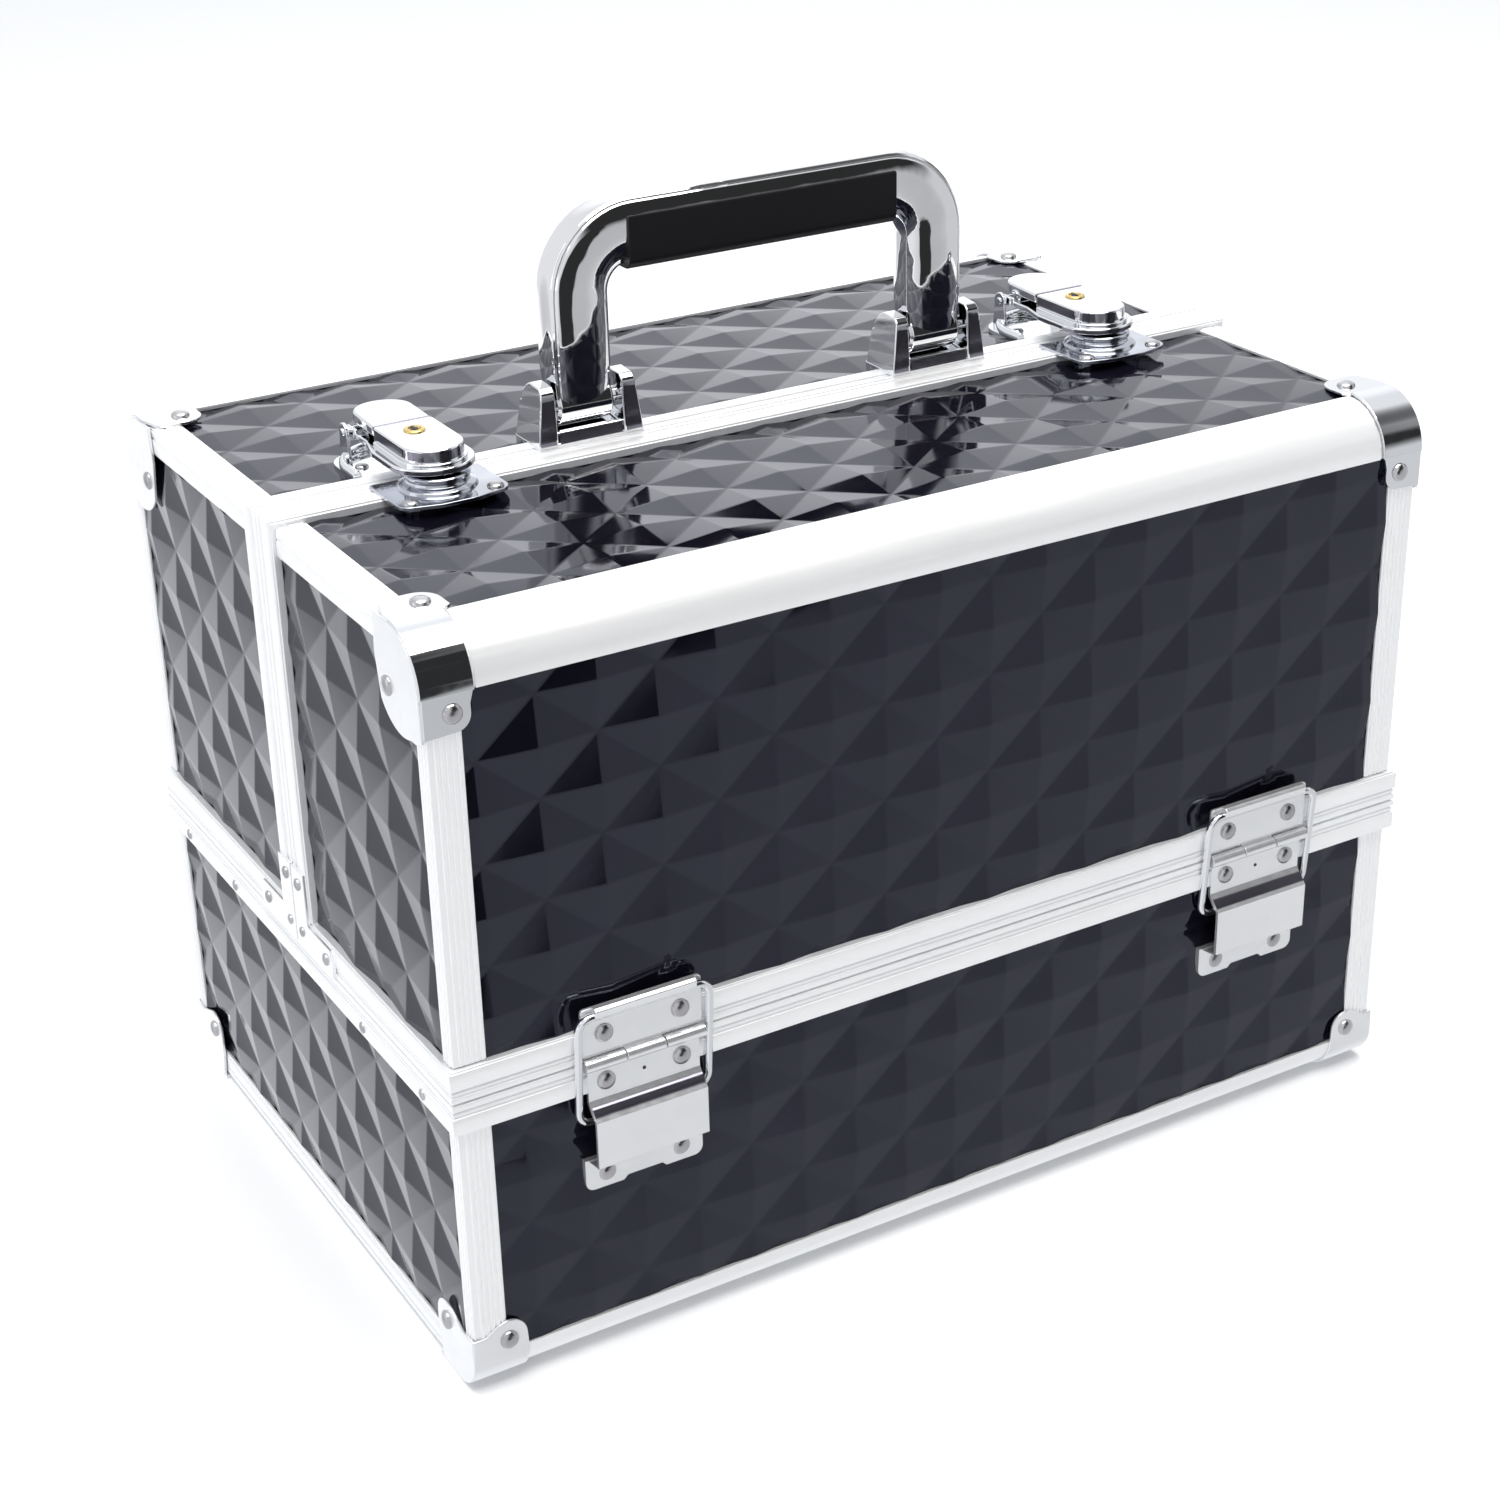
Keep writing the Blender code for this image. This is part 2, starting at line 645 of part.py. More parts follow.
def handle_bow():
    pivot = (0.0, HANDLE_Y, HANDLE_PIVOT_Z)
    mesh = swept_bar("handle_bow", bow_path(), BAR_HEIGHT, BAR_DEPTH, 0.0035)
    part = place("handle_bow", mesh, CHROME, pivot)
    joins = []
    for end in (-1, 1):
        foot = (end * HANDLE_X, HANDLE_Y, HANDLE_PIVOT_Z)
        joins.append(rod_mesh(foot, BAR_DEPTH / 2, BAR_HEIGHT, segments=20))
        joins.append(rod_mesh(foot, 0.0025, BAR_HEIGHT + 0.009, segments=12))
    bar_low = HANDLE_TOP - BAR_HEIGHT
    recess = box_tool(
        (-GRIP_HALF_LENGTH - GAP, HANDLE_Y - BAR_DEPTH, bar_low - 0.005),
        (GRIP_HALF_LENGTH + GAP, HANDLE_Y + BAR_DEPTH, HANDLE_TOP - STRIP),
    )
    core = box_tool(
        (-GRIP_HALF_LENGTH - 0.002, HANDLE_Y - 0.004, bar_low + 0.004),
        (GRIP_HALF_LENGTH + 0.002, HANDLE_Y + 0.004, HANDLE_TOP - 0.0015),
    )
    combine(part, "UNION", joins)
    combine(part, "DIFFERENCE", [recess])
    return smooth(combine(part, "UNION", [core]))


def handle_grip():
    """Moulded channel under the bow's bar."""
    bar_low = HANDLE_TOP - BAR_HEIGHT
    half_depth = BAR_DEPTH / 2 + 0.0002
    mesh = box_mesh(
        "handle_grip",
        (-GRIP_HALF_LENGTH, HANDLE_Y - half_depth, bar_low),
        (GRIP_HALF_LENGTH, HANDLE_Y + half_depth, HANDLE_TOP - STRIP - GAP),
        [(HANDLE_Y - half_depth, bar_low), (HANDLE_Y + half_depth, bar_low)],
        0.0035,
    )
    part = place("handle_grip", mesh, GRIP, (0.0, HANDLE_Y, HANDLE_PIVOT_Z))
    channel = box_tool(
        (-FAR, HANDLE_Y - 0.004 - GAP, bar_low + 0.004 - GAP),
        (FAR, HANDLE_Y + 0.004 + GAP, FAR),
    )
    return smooth(combine(part, "DIFFERENCE", [channel]))


BRACKET_HALF = 0.0195
EAR_INNER = BAR_HEIGHT / 2 + 0.0008
BRACKET_FRONT = PART_Y + 0.0004
BRACKET_REAR = 0.0135


def handle_bracket(name, x):
    """Cast foot of the handle: two ears on a base, on the rear half's rim and panel."""
    rim_face = RIM_TOP + GAP
    rim_edge = PART_Y + RIM_BAND + GAP
    ear_top = HANDLE_PIVOT_Z + 0.0098
    mesh = box_mesh(
        name,
        (x - BRACKET_HALF, BRACKET_FRONT, rim_face),
        (x + BRACKET_HALF, BRACKET_REAR, rim_face + 0.0020),
    )
    part = place(name, mesh, CHROME, hinge_point(1))
    inset = 0.0002
    joins = [
        box_tool(
            (x - BRACKET_HALF + inset, rim_edge + 0.0010, PANEL_TOP + GAP),
            (x + BRACKET_HALF - inset, BRACKET_REAR - inset, rim_face + 0.0010),
        ),
        box_tool(
            (x - BRACKET_HALF + 0.001, BRACKET_FRONT + 2 * inset, rim_face + 0.0010),
            (x + BRACKET_HALF - 0.001, BRACKET_FRONT + 0.0025, rim_face + 0.0048),
        ),
    ]
    for end in (-1, 1):
        joins.append(
            box_tool(
                (x + end * EAR_INNER, BRACKET_FRONT + inset, rim_face + 0.0005),
                (x + end * (BRACKET_HALF - inset), BRACKET_REAR - 2 * inset, ear_top),
                [(BRACKET_FRONT + inset, ear_top), (BRACKET_REAR - 2 * inset, ear_top)],
                0.007,
            )
        )
    combine(part, "UNION", joins)
    bore = rod_mesh((x, HANDLE_Y, HANDLE_PIVOT_Z), 0.0025 + GAP, BAR_HEIGHT + 0.0102, segments=12)
    return smooth(combine(part, "DIFFERENCE", [bore]))


# --- Latches ------------------------------------------------------------------------------------
LATCH_HALF = 0.0185
FLANGE_HALF = 0.0140
BOX_HALF = 0.0095
SPLIT_Y = 0.0055
FLANGE_FRONT = -0.0245
BOSS_Y = -0.0170
LOCK_RADIUS = 0.0032


def latch_strike(name, x):
    """Riveted plate on the front half with a raised round seat for the hasp."""
    low, high = RIM_TOP + GAP, RIM_TOP + GAP + PLATE
    rear_y = PART_Y - 0.0006
    front_y = -0.0325
    points = rounded_rectangle(x - LATCH_HALF, x + LATCH_HALF, front_y, rear_y, 0.004)
    mesh = outline_mesh(name, points, PLATE, Matrix.Translation((0, 0, (low + high) / 2)))
    part = place(name, mesh, CHROME, hinge_point(-1))
    rim_edge = PART_Y - RIM_BAND - GAP
    skirt = box_tool(
        (x - LATCH_HALF + 0.002, front_y + 0.002, PANEL_TOP + GAP),
        (x + LATCH_HALF - 0.002, rim_edge - 0.0005, low + 0.0005),
    )
    joins = [
        skirt,
        rod_mesh((x, BOSS_Y, high + 0.0010), 0.0105, 0.0040, "Z", 24, 0.0090),
        rod_mesh((x, BOSS_Y, high + 0.0020), 0.0075, 0.0060, "Z", 24),
    ]
    for dx in (-0.0137, 0.0137):
        joins.append(rivet((x + dx, -0.0275, high), "Z"))
    return smooth(combine(part, "UNION", joins))


def latch_base(name, x):
    """Riveted plate on the rear half with two ears and the cross pin."""
    low, high = PANEL_TOP + GAP, PANEL_TOP + GAP + 0.0026
    front_y = PART_Y + RIM_BAND + 0.0006
    rear_y = 0.0315
    points = rounded_rectangle(x - LATCH_HALF, x + LATCH_HALF, front_y, rear_y, 0.005)
    mesh = outline_mesh(name, points, high - low, Matrix.Translation((0, 0, (low + high) / 2)))
    part = place(name, mesh, CHROME, hinge_point(1))
    ear_top = LATCH_PIN_Z + 0.0026
    joins = [rod_mesh((x, LATCH_PIN_Y, LATCH_PIN_Z), 0.0011, 0.0262, segments=12)]
    for end in (-1, 1):
        joins.append(
            box_tool(
                (x + end * 0.0118, LATCH_PIN_Y - 0.0028, low + 0.001),
                (x + end * 0.0131, LATCH_PIN_Y + 0.0028, ear_top),
            )
        )
        joins.append(rivet((x + end * 0.0150, 0.0190, high), "Z", 0.0022))
    return smooth(combine(part, "UNION", joins))


def latch_hasp(name, x):
    """Flange and lock box that reach from the rear pin over the parting to the strike's seat."""
    pivot = (x, LATCH_PIN_Y, LATCH_PIN_Z)
    rear_y = LATCH_PIN_Y - 0.0050
    nose = arc((x, FLANGE_FRONT + FLANGE_HALF), FLANGE_HALF, 180, 360, 12)
    points = [(x + FLANGE_HALF, rear_y), (x - FLANGE_HALF, rear_y), *nose]
    flange_middle = (FLANGE_LOW + BOX_LOW) / 2
    mesh = outline_mesh(name, points, BOX_LOW - FLANGE_LOW, Matrix.Translation((0, 0, flange_middle)))
    part = place(name, mesh, CHROME, pivot)
    box_nose = arc((x, -0.0090), BOX_HALF, 180, 360, 10)
    box_points = [(x + BOX_HALF, SPLIT_Y), (x - BOX_HALF, SPLIT_Y), *box_nose]
    box_low = BOX_LOW - 0.0005
    lock_box = outline_mesh(
        "lock_box",
        box_points,
        BOX_TOP - box_low,
        Matrix.Translation((0, 0, (BOX_TOP + box_low) / 2)),
    )
    joins = [lock_box]
    for end in (-1, 1):
        joins.append(
            box_tool(
                (x + end * 0.0102, rear_y - 0.002, FLANGE_LOW + 0.0001),
                (x + end * 0.0115, LATCH_PIN_Y + 0.0024, LATCH_PIN_Z + 0.0019),
            )
        )
    combine(part, "UNION", joins)
    bore = rod_mesh((x, LATCH_PIN_Y, LATCH_PIN_Z), 0.0011 + GAP, 0.04, segments=12)
    lock_hole = rod_mesh((x, LOCK_Y, BOX_TOP), LOCK_RADIUS + GAP, 0.006, "Z")
    return smooth(combine(part, "DIFFERENCE", [bore, lock_hole]))


def latch_tab(name, x):
    """Thumb tab on the same pin, level with the lock box."""
    pivot = (x, LATCH_PIN_Y, LATCH_PIN_Z)
    low = LATCH_PIN_Z + 0.0024
    rear = arc((x, 0.0220), 0.0100, 0, 180, 12)
    points = [*rear, (x - 0.0092, SPLIT_Y + 0.0006), (x + 0.0092, SPLIT_Y + 0.0006)]
    mesh = outline_mesh(name, points, BOX_TOP - low, Matrix.Translation((0, 0, (BOX_TOP + low) / 2)))
    part = place(name, mesh, CHROME, pivot)
    lug = box_tool(
        (x - 0.0060, LATCH_PIN_Y - 0.0024, LATCH_PIN_Z - 0.0020),
        (x + 0.0060, LATCH_PIN_Y + 0.0024, low + 0.001),
    )
    combine(part, "UNION", [lug])
    bore = rod_mesh((x, LATCH_PIN_Y, LATCH_PIN_Z), 0.0011 + GAP, 0.04, segments=12)
    return smooth(combine(part, "DIFFERENCE", [bore]))


def latch_cylinder(name, x):
    """Key cylinder in the lock box, with its keyhole."""
    bottom = BOX_TOP - 0.0027
    top = BOX_TOP + 0.0002
    mesh = rod_mesh((x, LOCK_Y, (bottom + top) / 2), LOCK_RADIUS, top - bottom, "Z", 24)
    part = place(name, mesh, BRASS, (x, LOCK_Y, top))
    keyhole = box_tool(
        (x - 0.0005, LOCK_Y - 0.0018, top - 0.0012), (x + 0.0005, LOCK_Y + 0.0018, top + 0.001)
    )
    return smooth(combine(part, "DIFFERENCE", [keyhole]))


# --- Trays --------------------------------------------------------------------------------------


def at(side, inwards, height):
    """The (y, z) of a place given from the hinge axis of a half."""
    return side * (HINGE_AXIS_Y - inwards), PART_Z + height


def tray(name, side, pivot, extent):
    """Open tray on two side pins in the half's end walls."""
    front, underside, top = extent
    parting = HINGE_AXIS_Y - side * PART_Y
    back = parting - TRAY_BACK_CLEARANCE
    pin_y, pin_z = at(side, *pivot)
    front_y, low = at(side, front, underside)
    back_y, high = at(side, back, top)
    mesh = box_mesh(name, (-TRAY_HALF_X, front_y, low), (TRAY_HALF_X, back_y, high))
    part = place(name, mesh, TRAY_PLASTIC, (0.0, pin_y, pin_z))
    cavity = box_tool(
        (-TRAY_HALF_X + TRAY_WALL, front_y - side * TRAY_WALL, low + TRAY_WALL),
        (TRAY_HALF_X - TRAY_WALL, back_y + side * TRAY_WALL, FAR),
    )
    combine(part, "DIFFERENCE", [cavity])
    reach = INNER_X - GAP - TRAY_HALF_X
    pins = [
        rod_mesh(
            (end * (TRAY_HALF_X - 0.0008 + reach / 2 + 0.0004), pin_y, pin_z),
            TRAY_PIN_RADIUS,
            reach + 0.0008,
            segments=10,
        )
        for end in (-1, 1)
    ]
    return smooth(combine(part, "UNION", pins))


def tray_link(name, side, end):
    """Flat arm from the base's end wall past both trays, parallel to the half's tray pins."""
    base_y, base_z = at(side, *LINK_PIVOT)
    length = math.hypot(*UPPER_PIVOT)
    rise = math.atan2(UPPER_PIVOT[1], UPPER_PIVOT[0])
    ends = arc((0.0, 0.0), LINK_HALF_WIDTH, 90, 270, 8)
    points = [*ends, *arc((length, 0.0), LINK_HALF_WIDTH, -90, 90, 8)]
    along = Vector((0.0, -side * math.cos(rise), math.sin(rise)))
    across = Vector((0.0, side * math.sin(rise), math.cos(rise)))
    turn = Matrix.Translation((end * LINK_X, base_y, base_z)) @ Matrix(
        ((0, 0, 1, 0), (along.y, across.y, 0, 0), (along.z, across.z, 0, 0), (0, 0, 0, 1))
    )
    mesh = outline_mesh(name, points, LINK_THICKNESS, turn)
    part = place(name, mesh, STEEL, (end * LINK_X, base_y, base_z))
    outer_reach = INNER_X - GAP - LINK_X
    joins = [
        rod_mesh(
            (end * (LINK_X + outer_reach / 2), base_y, base_z), 0.0022, outer_reach, segments=10
        )
    ]
    inner_reach = LINK_X - TRAY_HALF_X - GAP
    for pivot in (LOWER_PIVOT, UPPER_PIVOT):
        y, z = at(side, LINK_PIVOT[0] + pivot[0], LINK_PIVOT[1] + pivot[1])
        joins.append(
            rod_mesh((end * (LINK_X - inner_reach / 2), y, z), 0.0022, inner_reach, segments=10)
        )
    return smooth(combine(part, "UNION", joins))


# --- The case -----------------------------------------------------------------------------------


def build_case():
    base_shell()
    base_edge_frame()
    base_rim()
    for name, side in SIDES.items():
        half_shell(name, side)
        half_edge_frame(name, side)
        half_rim(name, side)
        tray(f"{name}_lower_tray", side, LOWER_PIVOT, LOWER_TRAY)
        tray(f"{name}_upper_tray", side, UPPER_PIVOT, UPPER_TRAY)
        for end_name, end in ENDS.items():
            corner_bracket(f"top_bracket_{name}_{end_name}", side, end, True)
            corner_bracket(f"bottom_bracket_{name}_{end_name}", side, end, False)
            rim_corner_plate(f"{name}_rim_plate_{end_name}", side, end)
            hinge_upper_leaf(f"{name}_hinge_upper_leaf_{end_name}", side, end * HINGE_X)
            hinge_lower_leaf(f"{name}_hinge_lower_leaf_{end_name}", side, end * HINGE_X)
            hinge_bail(f"{name}_hinge_bail_{end_name}", side, end * HINGE_X)
            tray_link(f"{name}_tray_link_{end_name}", side, end)
    handle_bow()
    handle_grip()
    for end_name, end in ENDS.items():
        handle_bracket(f"handle_bracket_{end_name}", end * HANDLE_X)
        latch_strike(f"latch_strike_{end_name}", end * LATCH_X)
        latch_base(f"latch_base_{end_name}", end * LATCH_X)
        latch_hasp(f"latch_hasp_{end_name}", end * LATCH_X)
        latch_tab(f"latch_tab_{end_name}", end * LATCH_X)
        latch_cylinder(f"latch_cylinder_{end_name}", end * LATCH_X)


build_case()
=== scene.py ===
"""Looks of the makeup train case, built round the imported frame. Metres, -Y is the front."""

import math

import bmesh
import bpy
from mathutils import Matrix, Vector


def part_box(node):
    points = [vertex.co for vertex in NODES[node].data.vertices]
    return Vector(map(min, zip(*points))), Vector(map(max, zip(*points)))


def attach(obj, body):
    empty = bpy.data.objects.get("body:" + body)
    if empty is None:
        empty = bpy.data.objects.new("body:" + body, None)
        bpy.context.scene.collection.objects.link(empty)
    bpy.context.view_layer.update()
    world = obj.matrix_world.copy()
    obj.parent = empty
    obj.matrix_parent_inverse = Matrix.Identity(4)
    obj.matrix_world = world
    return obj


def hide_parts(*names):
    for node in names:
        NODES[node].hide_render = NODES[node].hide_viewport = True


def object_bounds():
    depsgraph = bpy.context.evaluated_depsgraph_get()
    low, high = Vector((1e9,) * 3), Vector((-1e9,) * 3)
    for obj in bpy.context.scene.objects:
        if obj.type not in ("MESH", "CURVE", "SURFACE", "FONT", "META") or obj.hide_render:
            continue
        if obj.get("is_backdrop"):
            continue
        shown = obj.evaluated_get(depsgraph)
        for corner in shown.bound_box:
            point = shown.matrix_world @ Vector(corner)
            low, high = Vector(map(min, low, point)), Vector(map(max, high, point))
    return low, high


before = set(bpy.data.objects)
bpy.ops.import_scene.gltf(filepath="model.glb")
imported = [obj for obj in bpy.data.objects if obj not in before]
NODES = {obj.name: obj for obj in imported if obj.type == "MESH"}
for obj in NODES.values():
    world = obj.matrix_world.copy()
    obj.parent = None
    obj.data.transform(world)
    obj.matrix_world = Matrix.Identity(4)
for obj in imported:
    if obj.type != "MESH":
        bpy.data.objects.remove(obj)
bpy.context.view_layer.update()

# --- Sizes that the pieces share, from the frame ------------------------------------------------
RAIL_X, RAIL_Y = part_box("base_edge_frame")[1].xy
RAIL_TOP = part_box("rear_half_edge_frame")[1].z
RAIL_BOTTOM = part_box("base_edge_frame")[0].z
RIM_X, RIM_Y, RIM_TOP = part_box("rear_half_rim")[1]
PANEL_X, PANEL_Y, PANEL_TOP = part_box("rear_half_shell")[1]
PART_Z = (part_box("base_rim")[1].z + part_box("rear_half_rim")[0].z) / 2
PART_Y = (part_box("front_half_rim")[1].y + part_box("rear_half_rim")[0].y) / 2
RIM_BAND = PART_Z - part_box("base_rim")[0].z
ROUND_TOP = 0.017  # radius of the long top rails
ROUND_BOTTOM = 0.012  # radius of the long bottom rails
RAIL_LONG = 0.011  # vertical rails on the front and rear faces
RAIL_SIDE = 0.0065  # vertical rails on the end faces
RAIL_SHORT = 0.0095  # short rails along Y, on both of their faces
STAND_OFF = 0.0013  # outer faces of the pressed corners, from the rails
FACE_X, FACE_Y, FACE_Z = RAIL_X + STAND_OFF, RAIL_Y + STAND_OFF, RAIL_TOP + STAND_OFF
GAP = 0.0003
SEAT = RIM_TOP + GAP  # underside of the pieces on the top's rims
PANEL_SEAT = PANEL_TOP + GAP  # underside of the pieces on the top's panels
HINGE_X = 0.119
LATCH_X = 0.1265
MM = 0.001
SIDES = {"front": -1, "rear": 1}
ENDS = {"left": -1, "right": 1}

# --- Materials ----------------------------------------------------------------------------------


def finish(
    name,
    colour,
    rough,
    metallic=0.0,
    dark=0.9,
    grain=(300, 300, 300),
    bump=0.1,
    bump_scale=(900, 900, 900),
    bump_depth=0.00002,
    specular=0.5,
    tint=(1.0, 1.0, 1.0),
):
    """A Principled material whose colour, roughness and height vary with noise in object space."""
    made = bpy.data.materials.new(name)
    made.use_nodes = True
    nodes, links = made.node_tree.nodes, made.node_tree.links
    shader = nodes["Principled BSDF"]
    shader.inputs["Metallic"].default_value = metallic
    shader.inputs["Specular IOR Level"].default_value = specular
    shader.inputs["Specular Tint"].default_value = (*tint, 1.0)
    place = nodes.new("ShaderNodeTexCoord")

    def noise(scale, detail):
        stretch = nodes.new("ShaderNodeMapping")
        stretch.inputs["Scale"].default_value = scale
        links.new(place.outputs["Object"], stretch.inputs["Vector"])
        texture = nodes.new("ShaderNodeTexNoise")
        texture.inputs["Scale"].default_value = 1.0
        texture.inputs["Detail"].default_value = detail
        links.new(stretch.outputs["Vector"], texture.inputs["Vector"])
        return texture.outputs["Fac"]

    blotch = noise((45, 45, 45), 4)
    fine = noise(grain, 3)
    ramp = nodes.new("ShaderNodeValToRGB")
    ramp.color_ramp.elements[0].position = 0.3
    ramp.color_ramp.elements[1].position = 0.7
    ramp.color_ramp.elements[0].color = (*[c * dark for c in colour], 1)
    ramp.color_ramp.elements[1].color = (*colour, 1)
    links.new(blotch, ramp.inputs["Fac"])
    links.new(ramp.outputs["Color"], shader.inputs["Base Color"])
    spread = nodes.new("ShaderNodeMapRange")
    spread.inputs["From Min"].default_value = 0.3
    spread.inputs["From Max"].default_value = 0.7
    spread.inputs["To Min"].default_value = rough[0]
    spread.inputs["To Max"].default_value = rough[1]
    links.new(fine, spread.inputs["Value"])
    links.new(spread.outputs["Result"], shader.inputs["Roughness"])
    relief = nodes.new("ShaderNodeBump")
    relief.inputs["Strength"].default_value = bump
    relief.inputs["Distance"].default_value = bump_depth
    links.new(noise(bump_scale, 2), relief.inputs["Height"])
    links.new(relief.outputs["Normal"], shader.inputs["Normal"])
    return made


PANEL = finish(
    "black_embossed", (0.0045, 0.0042, 0.0090), (0.05, 0.10), dark=0.6, grain=(80, 80, 80),
    bump=0.4, bump_scale=(90, 90, 90), bump_depth=0.00006, specular=0.62, tint=(0.76, 0.80, 1.0),
)
ALU_X, ALU_Y, ALU_Z = (
    finish(
        f"satin_aluminium_{along}", (0.95, 0.952, 0.958), (0.28, 0.38), 0.45, 0.98,
        tuple(20 if axis == along else 900 for axis in "xyz"), 0.25,
        tuple(30 if axis == along else 1500 for axis in "xyz"),
    )
    for along in "xyz"
)
CHROME = finish(
    "chrome", (0.84, 0.85, 0.87), (0.03, 0.08), 1.0, 0.97,
    bump=0.15, bump_scale=(60, 60, 60), bump_depth=0.0001,
)
NICKEL = finish("nickel_plate", (0.90, 0.905, 0.92), (0.16, 0.26), 0.75, 0.95, bump=0.2)
WAVY = finish(
    "wavy_chrome", (0.86, 0.86, 0.87), (0.02, 0.05), 1.0, 0.95,
    bump=0.55, bump_scale=(42, 42, 42), bump_depth=0.0010,
)
BLUED = finish(
    "blued_steel", (0.60, 0.62, 0.68), (0.05, 0.12), 1.0, 0.70, (60, 900, 900),
    bump=0.4, bump_scale=(40, 600, 600),
)
# Chrome painted dark: painted shade and dark reflection for the faces between polished edges on
# the hinge shelves, handle brackets and hasps.
CHROME_PAINTED_SHADE = finish(
    "shaded_chrome", (0.26, 0.25, 0.30), (0.08, 0.16), 0.9, 0.7,
    bump=0.3, bump_scale=(120, 120, 120),
)
# Aluminium painted a little darker for the rims, as painted shade in the grooves between the
# trims' ridges.
RIM_GROOVE_SHADE = finish("aluminium_painted_groove_shade", (0.88, 0.885, 0.90), (0.35, 0.5), 0.5, 0.92)
RIVET = finish("rivet_steel", (0.60, 0.59, 0.60), (0.16, 0.30), 1.0, 0.7)
# Near-black painted shade for holes and slots.
SHADOW = finish("painted_recess_shade", (0.05, 0.052, 0.06), (0.4, 0.5), 0.6, 0.8)
GRIP = finish(
    "grip_plastic", (0.007, 0.006, 0.008), (0.34, 0.46), grain=(1200, 1200, 1200),
    bump=0.3, bump_scale=(1600, 1600, 1600), specular=0.2,
)
BRASS = finish("brass", (0.80, 0.60, 0.24), (0.15, 0.3), 1.0, 0.8)
LINING = finish(
    "black_lining", (0.014, 0.014, 0.015), (0.75, 0.95), dark=0.6, grain=(900, 900, 900),
    bump=0.7, bump_scale=(2200, 2200, 2200), bump_depth=0.0002, specular=0.25,
)
TRAY = finish(
    "tray_plastic", (0.020, 0.020, 0.022), (0.40, 0.55), grain=(900, 900, 900),
    bump=0.6, bump_scale=(1400, 1400, 1400), bump_depth=0.0001,
)

# --- Mesh helpers -------------------------------------------------------------------------------


def piece(name, shape, body, material, hides=(), smooth=35, bevel=0.0, segments=2):
    """A piece from a bmesh in the row frame, on its body."""
    bmesh.ops.recalc_face_normals(shape, faces=shape.faces)
    mesh = bpy.data.meshes.new(name)
    shape.to_mesh(mesh)
    shape.free()
    made = bpy.data.objects.new(name, mesh)
    bpy.context.scene.collection.objects.link(made)
    mesh.materials.append(material)
    if bevel:
        soften(made, bevel, segments)
    mesh.shade_smooth()
    mesh.set_sharp_from_angle(angle=math.radians(smooth))
    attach(made, body)
    if hides:
        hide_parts(*hides)
    return made


def soften(thing, width, segments=2):
    """Rounded edges where faces meet at more than 30 degrees."""
    edge = thing.modifiers.new("Soft edges", "BEVEL")
    edge.width, edge.segments = width, segments
    edge.limit_method, edge.angle_limit = "ANGLE", math.radians(30)
    edge.harden_normals = True


def loft(shape, first, second):
    """A closed form between two rings of the same number of points."""
    rings = [[shape.verts.new(p) for p in ring] for ring in (first, second)]
    for ring in rings:
        shape.faces.new(ring)
    for i in range(len(first)):
        j = (i + 1) % len(first)
        shape.faces.new((rings[0][i], rings[0][j], rings[1][j], rings[1][i]))


def ribbon(shape, first, second):
    """Faces between two rows of the same number of points; returns the rows' vertices."""
    rows = [[shape.verts.new(p) for p in row] for row in (first, second)]
    for i in range(len(first) - 1):
        shape.faces.new((rows[0][i], rows[0][i + 1], rows[1][i + 1], rows[1][i]))
    return rows


def upward(u, v, h):
    return Vector((u, v, h))


def sideways(u, v, h):
    return Vector((h, u, v))


def plate(shape, outline, to_world, low, high):
    """A closed plate from a flat outline of (u, v), between two heights."""
    loft(shape, *[[to_world(u, v, h) for u, v in outline] for h in (low, high)])


def arc(cu, cv, radius, start, end, steps=8):
    turns = [math.radians(start + (end - start) * i / steps) for i in range(steps + 1)]
    return [(cu + radius * math.cos(t), cv + radius * math.sin(t)) for t in turns]


def rounded(low_u, high_u, low_v, high_v, radius, steps=6):
    return [
        *arc(high_u - radius, high_v - radius, radius, 0, 90, steps),
        *arc(low_u + radius, high_v - radius, radius, 90, 180, steps),
        *arc(low_u + radius, low_v + radius, radius, 180, 270, steps),
        *arc(high_u - radius, low_v + radius, radius, 270, 360, steps),
    ]


def lathe(shape, centre, normal, profile, steps=20):
    """A turned form: profile is (radius, height) from the outside to the top's middle."""
    normal = Vector(normal).normalized()
    across = normal.orthogonal().normalized()
    other = normal.cross(across)
    rings = []
    for radius, height in profile:
        if radius < 1e-7:
            rings.append([shape.verts.new(Vector(centre) + normal * height)])
            continue
        turns = [2 * math.pi * i / steps for i in range(steps)]
        rings.append(
            [
                shape.verts.new(
                    Vector(centre)
                    + normal * height
                    + radius * (across * math.cos(t) + other * math.sin(t))
                )
                for t in turns
            ]
        )
    for low, high in zip(rings, rings[1:]):
        for i in range(steps):
            j = (i + 1) % steps
            if len(high) == 1:
                shape.faces.new((low[i], low[j], high[0]))
            elif len(low) == 1:
                shape.faces.new((high[j], high[i], low[0]))
            else:
                shape.faces.new((low[i], low[j], high[j], high[i]))


def dome(shape, centre, normal, radius=0.0031, height=0.0015):
    """A domed rivet head on a thin collar."""
    curve = [
        (radius * math.cos(t), height * (0.18 + 0.82 * math.sin(t))) for t in (0.0, 0.4, 0.8, 1.2)
    ]
    lathe(shape, centre, normal, [(radius, -0.0006), *curve, (0.0, height)])


def moulding(shape, start, end, outward, across, profile, grow=(0, 0)):
    """A length of ridged profile from start to end; grow mitres its ends for an outer corner."""
    start, end, outward, across = map(Vector, (start, end, outward, across))
    along = (end - start).normalized()
    rows = [
        [point + across * a + outward * h + along * (sign * share * h) for a, h in profile]
        for point, sign, share in ((start, -1, grow[0]), (end, 1, grow[1]))
    ]
    for row in ribbon(shape, *rows):
        shape.faces.new(row)


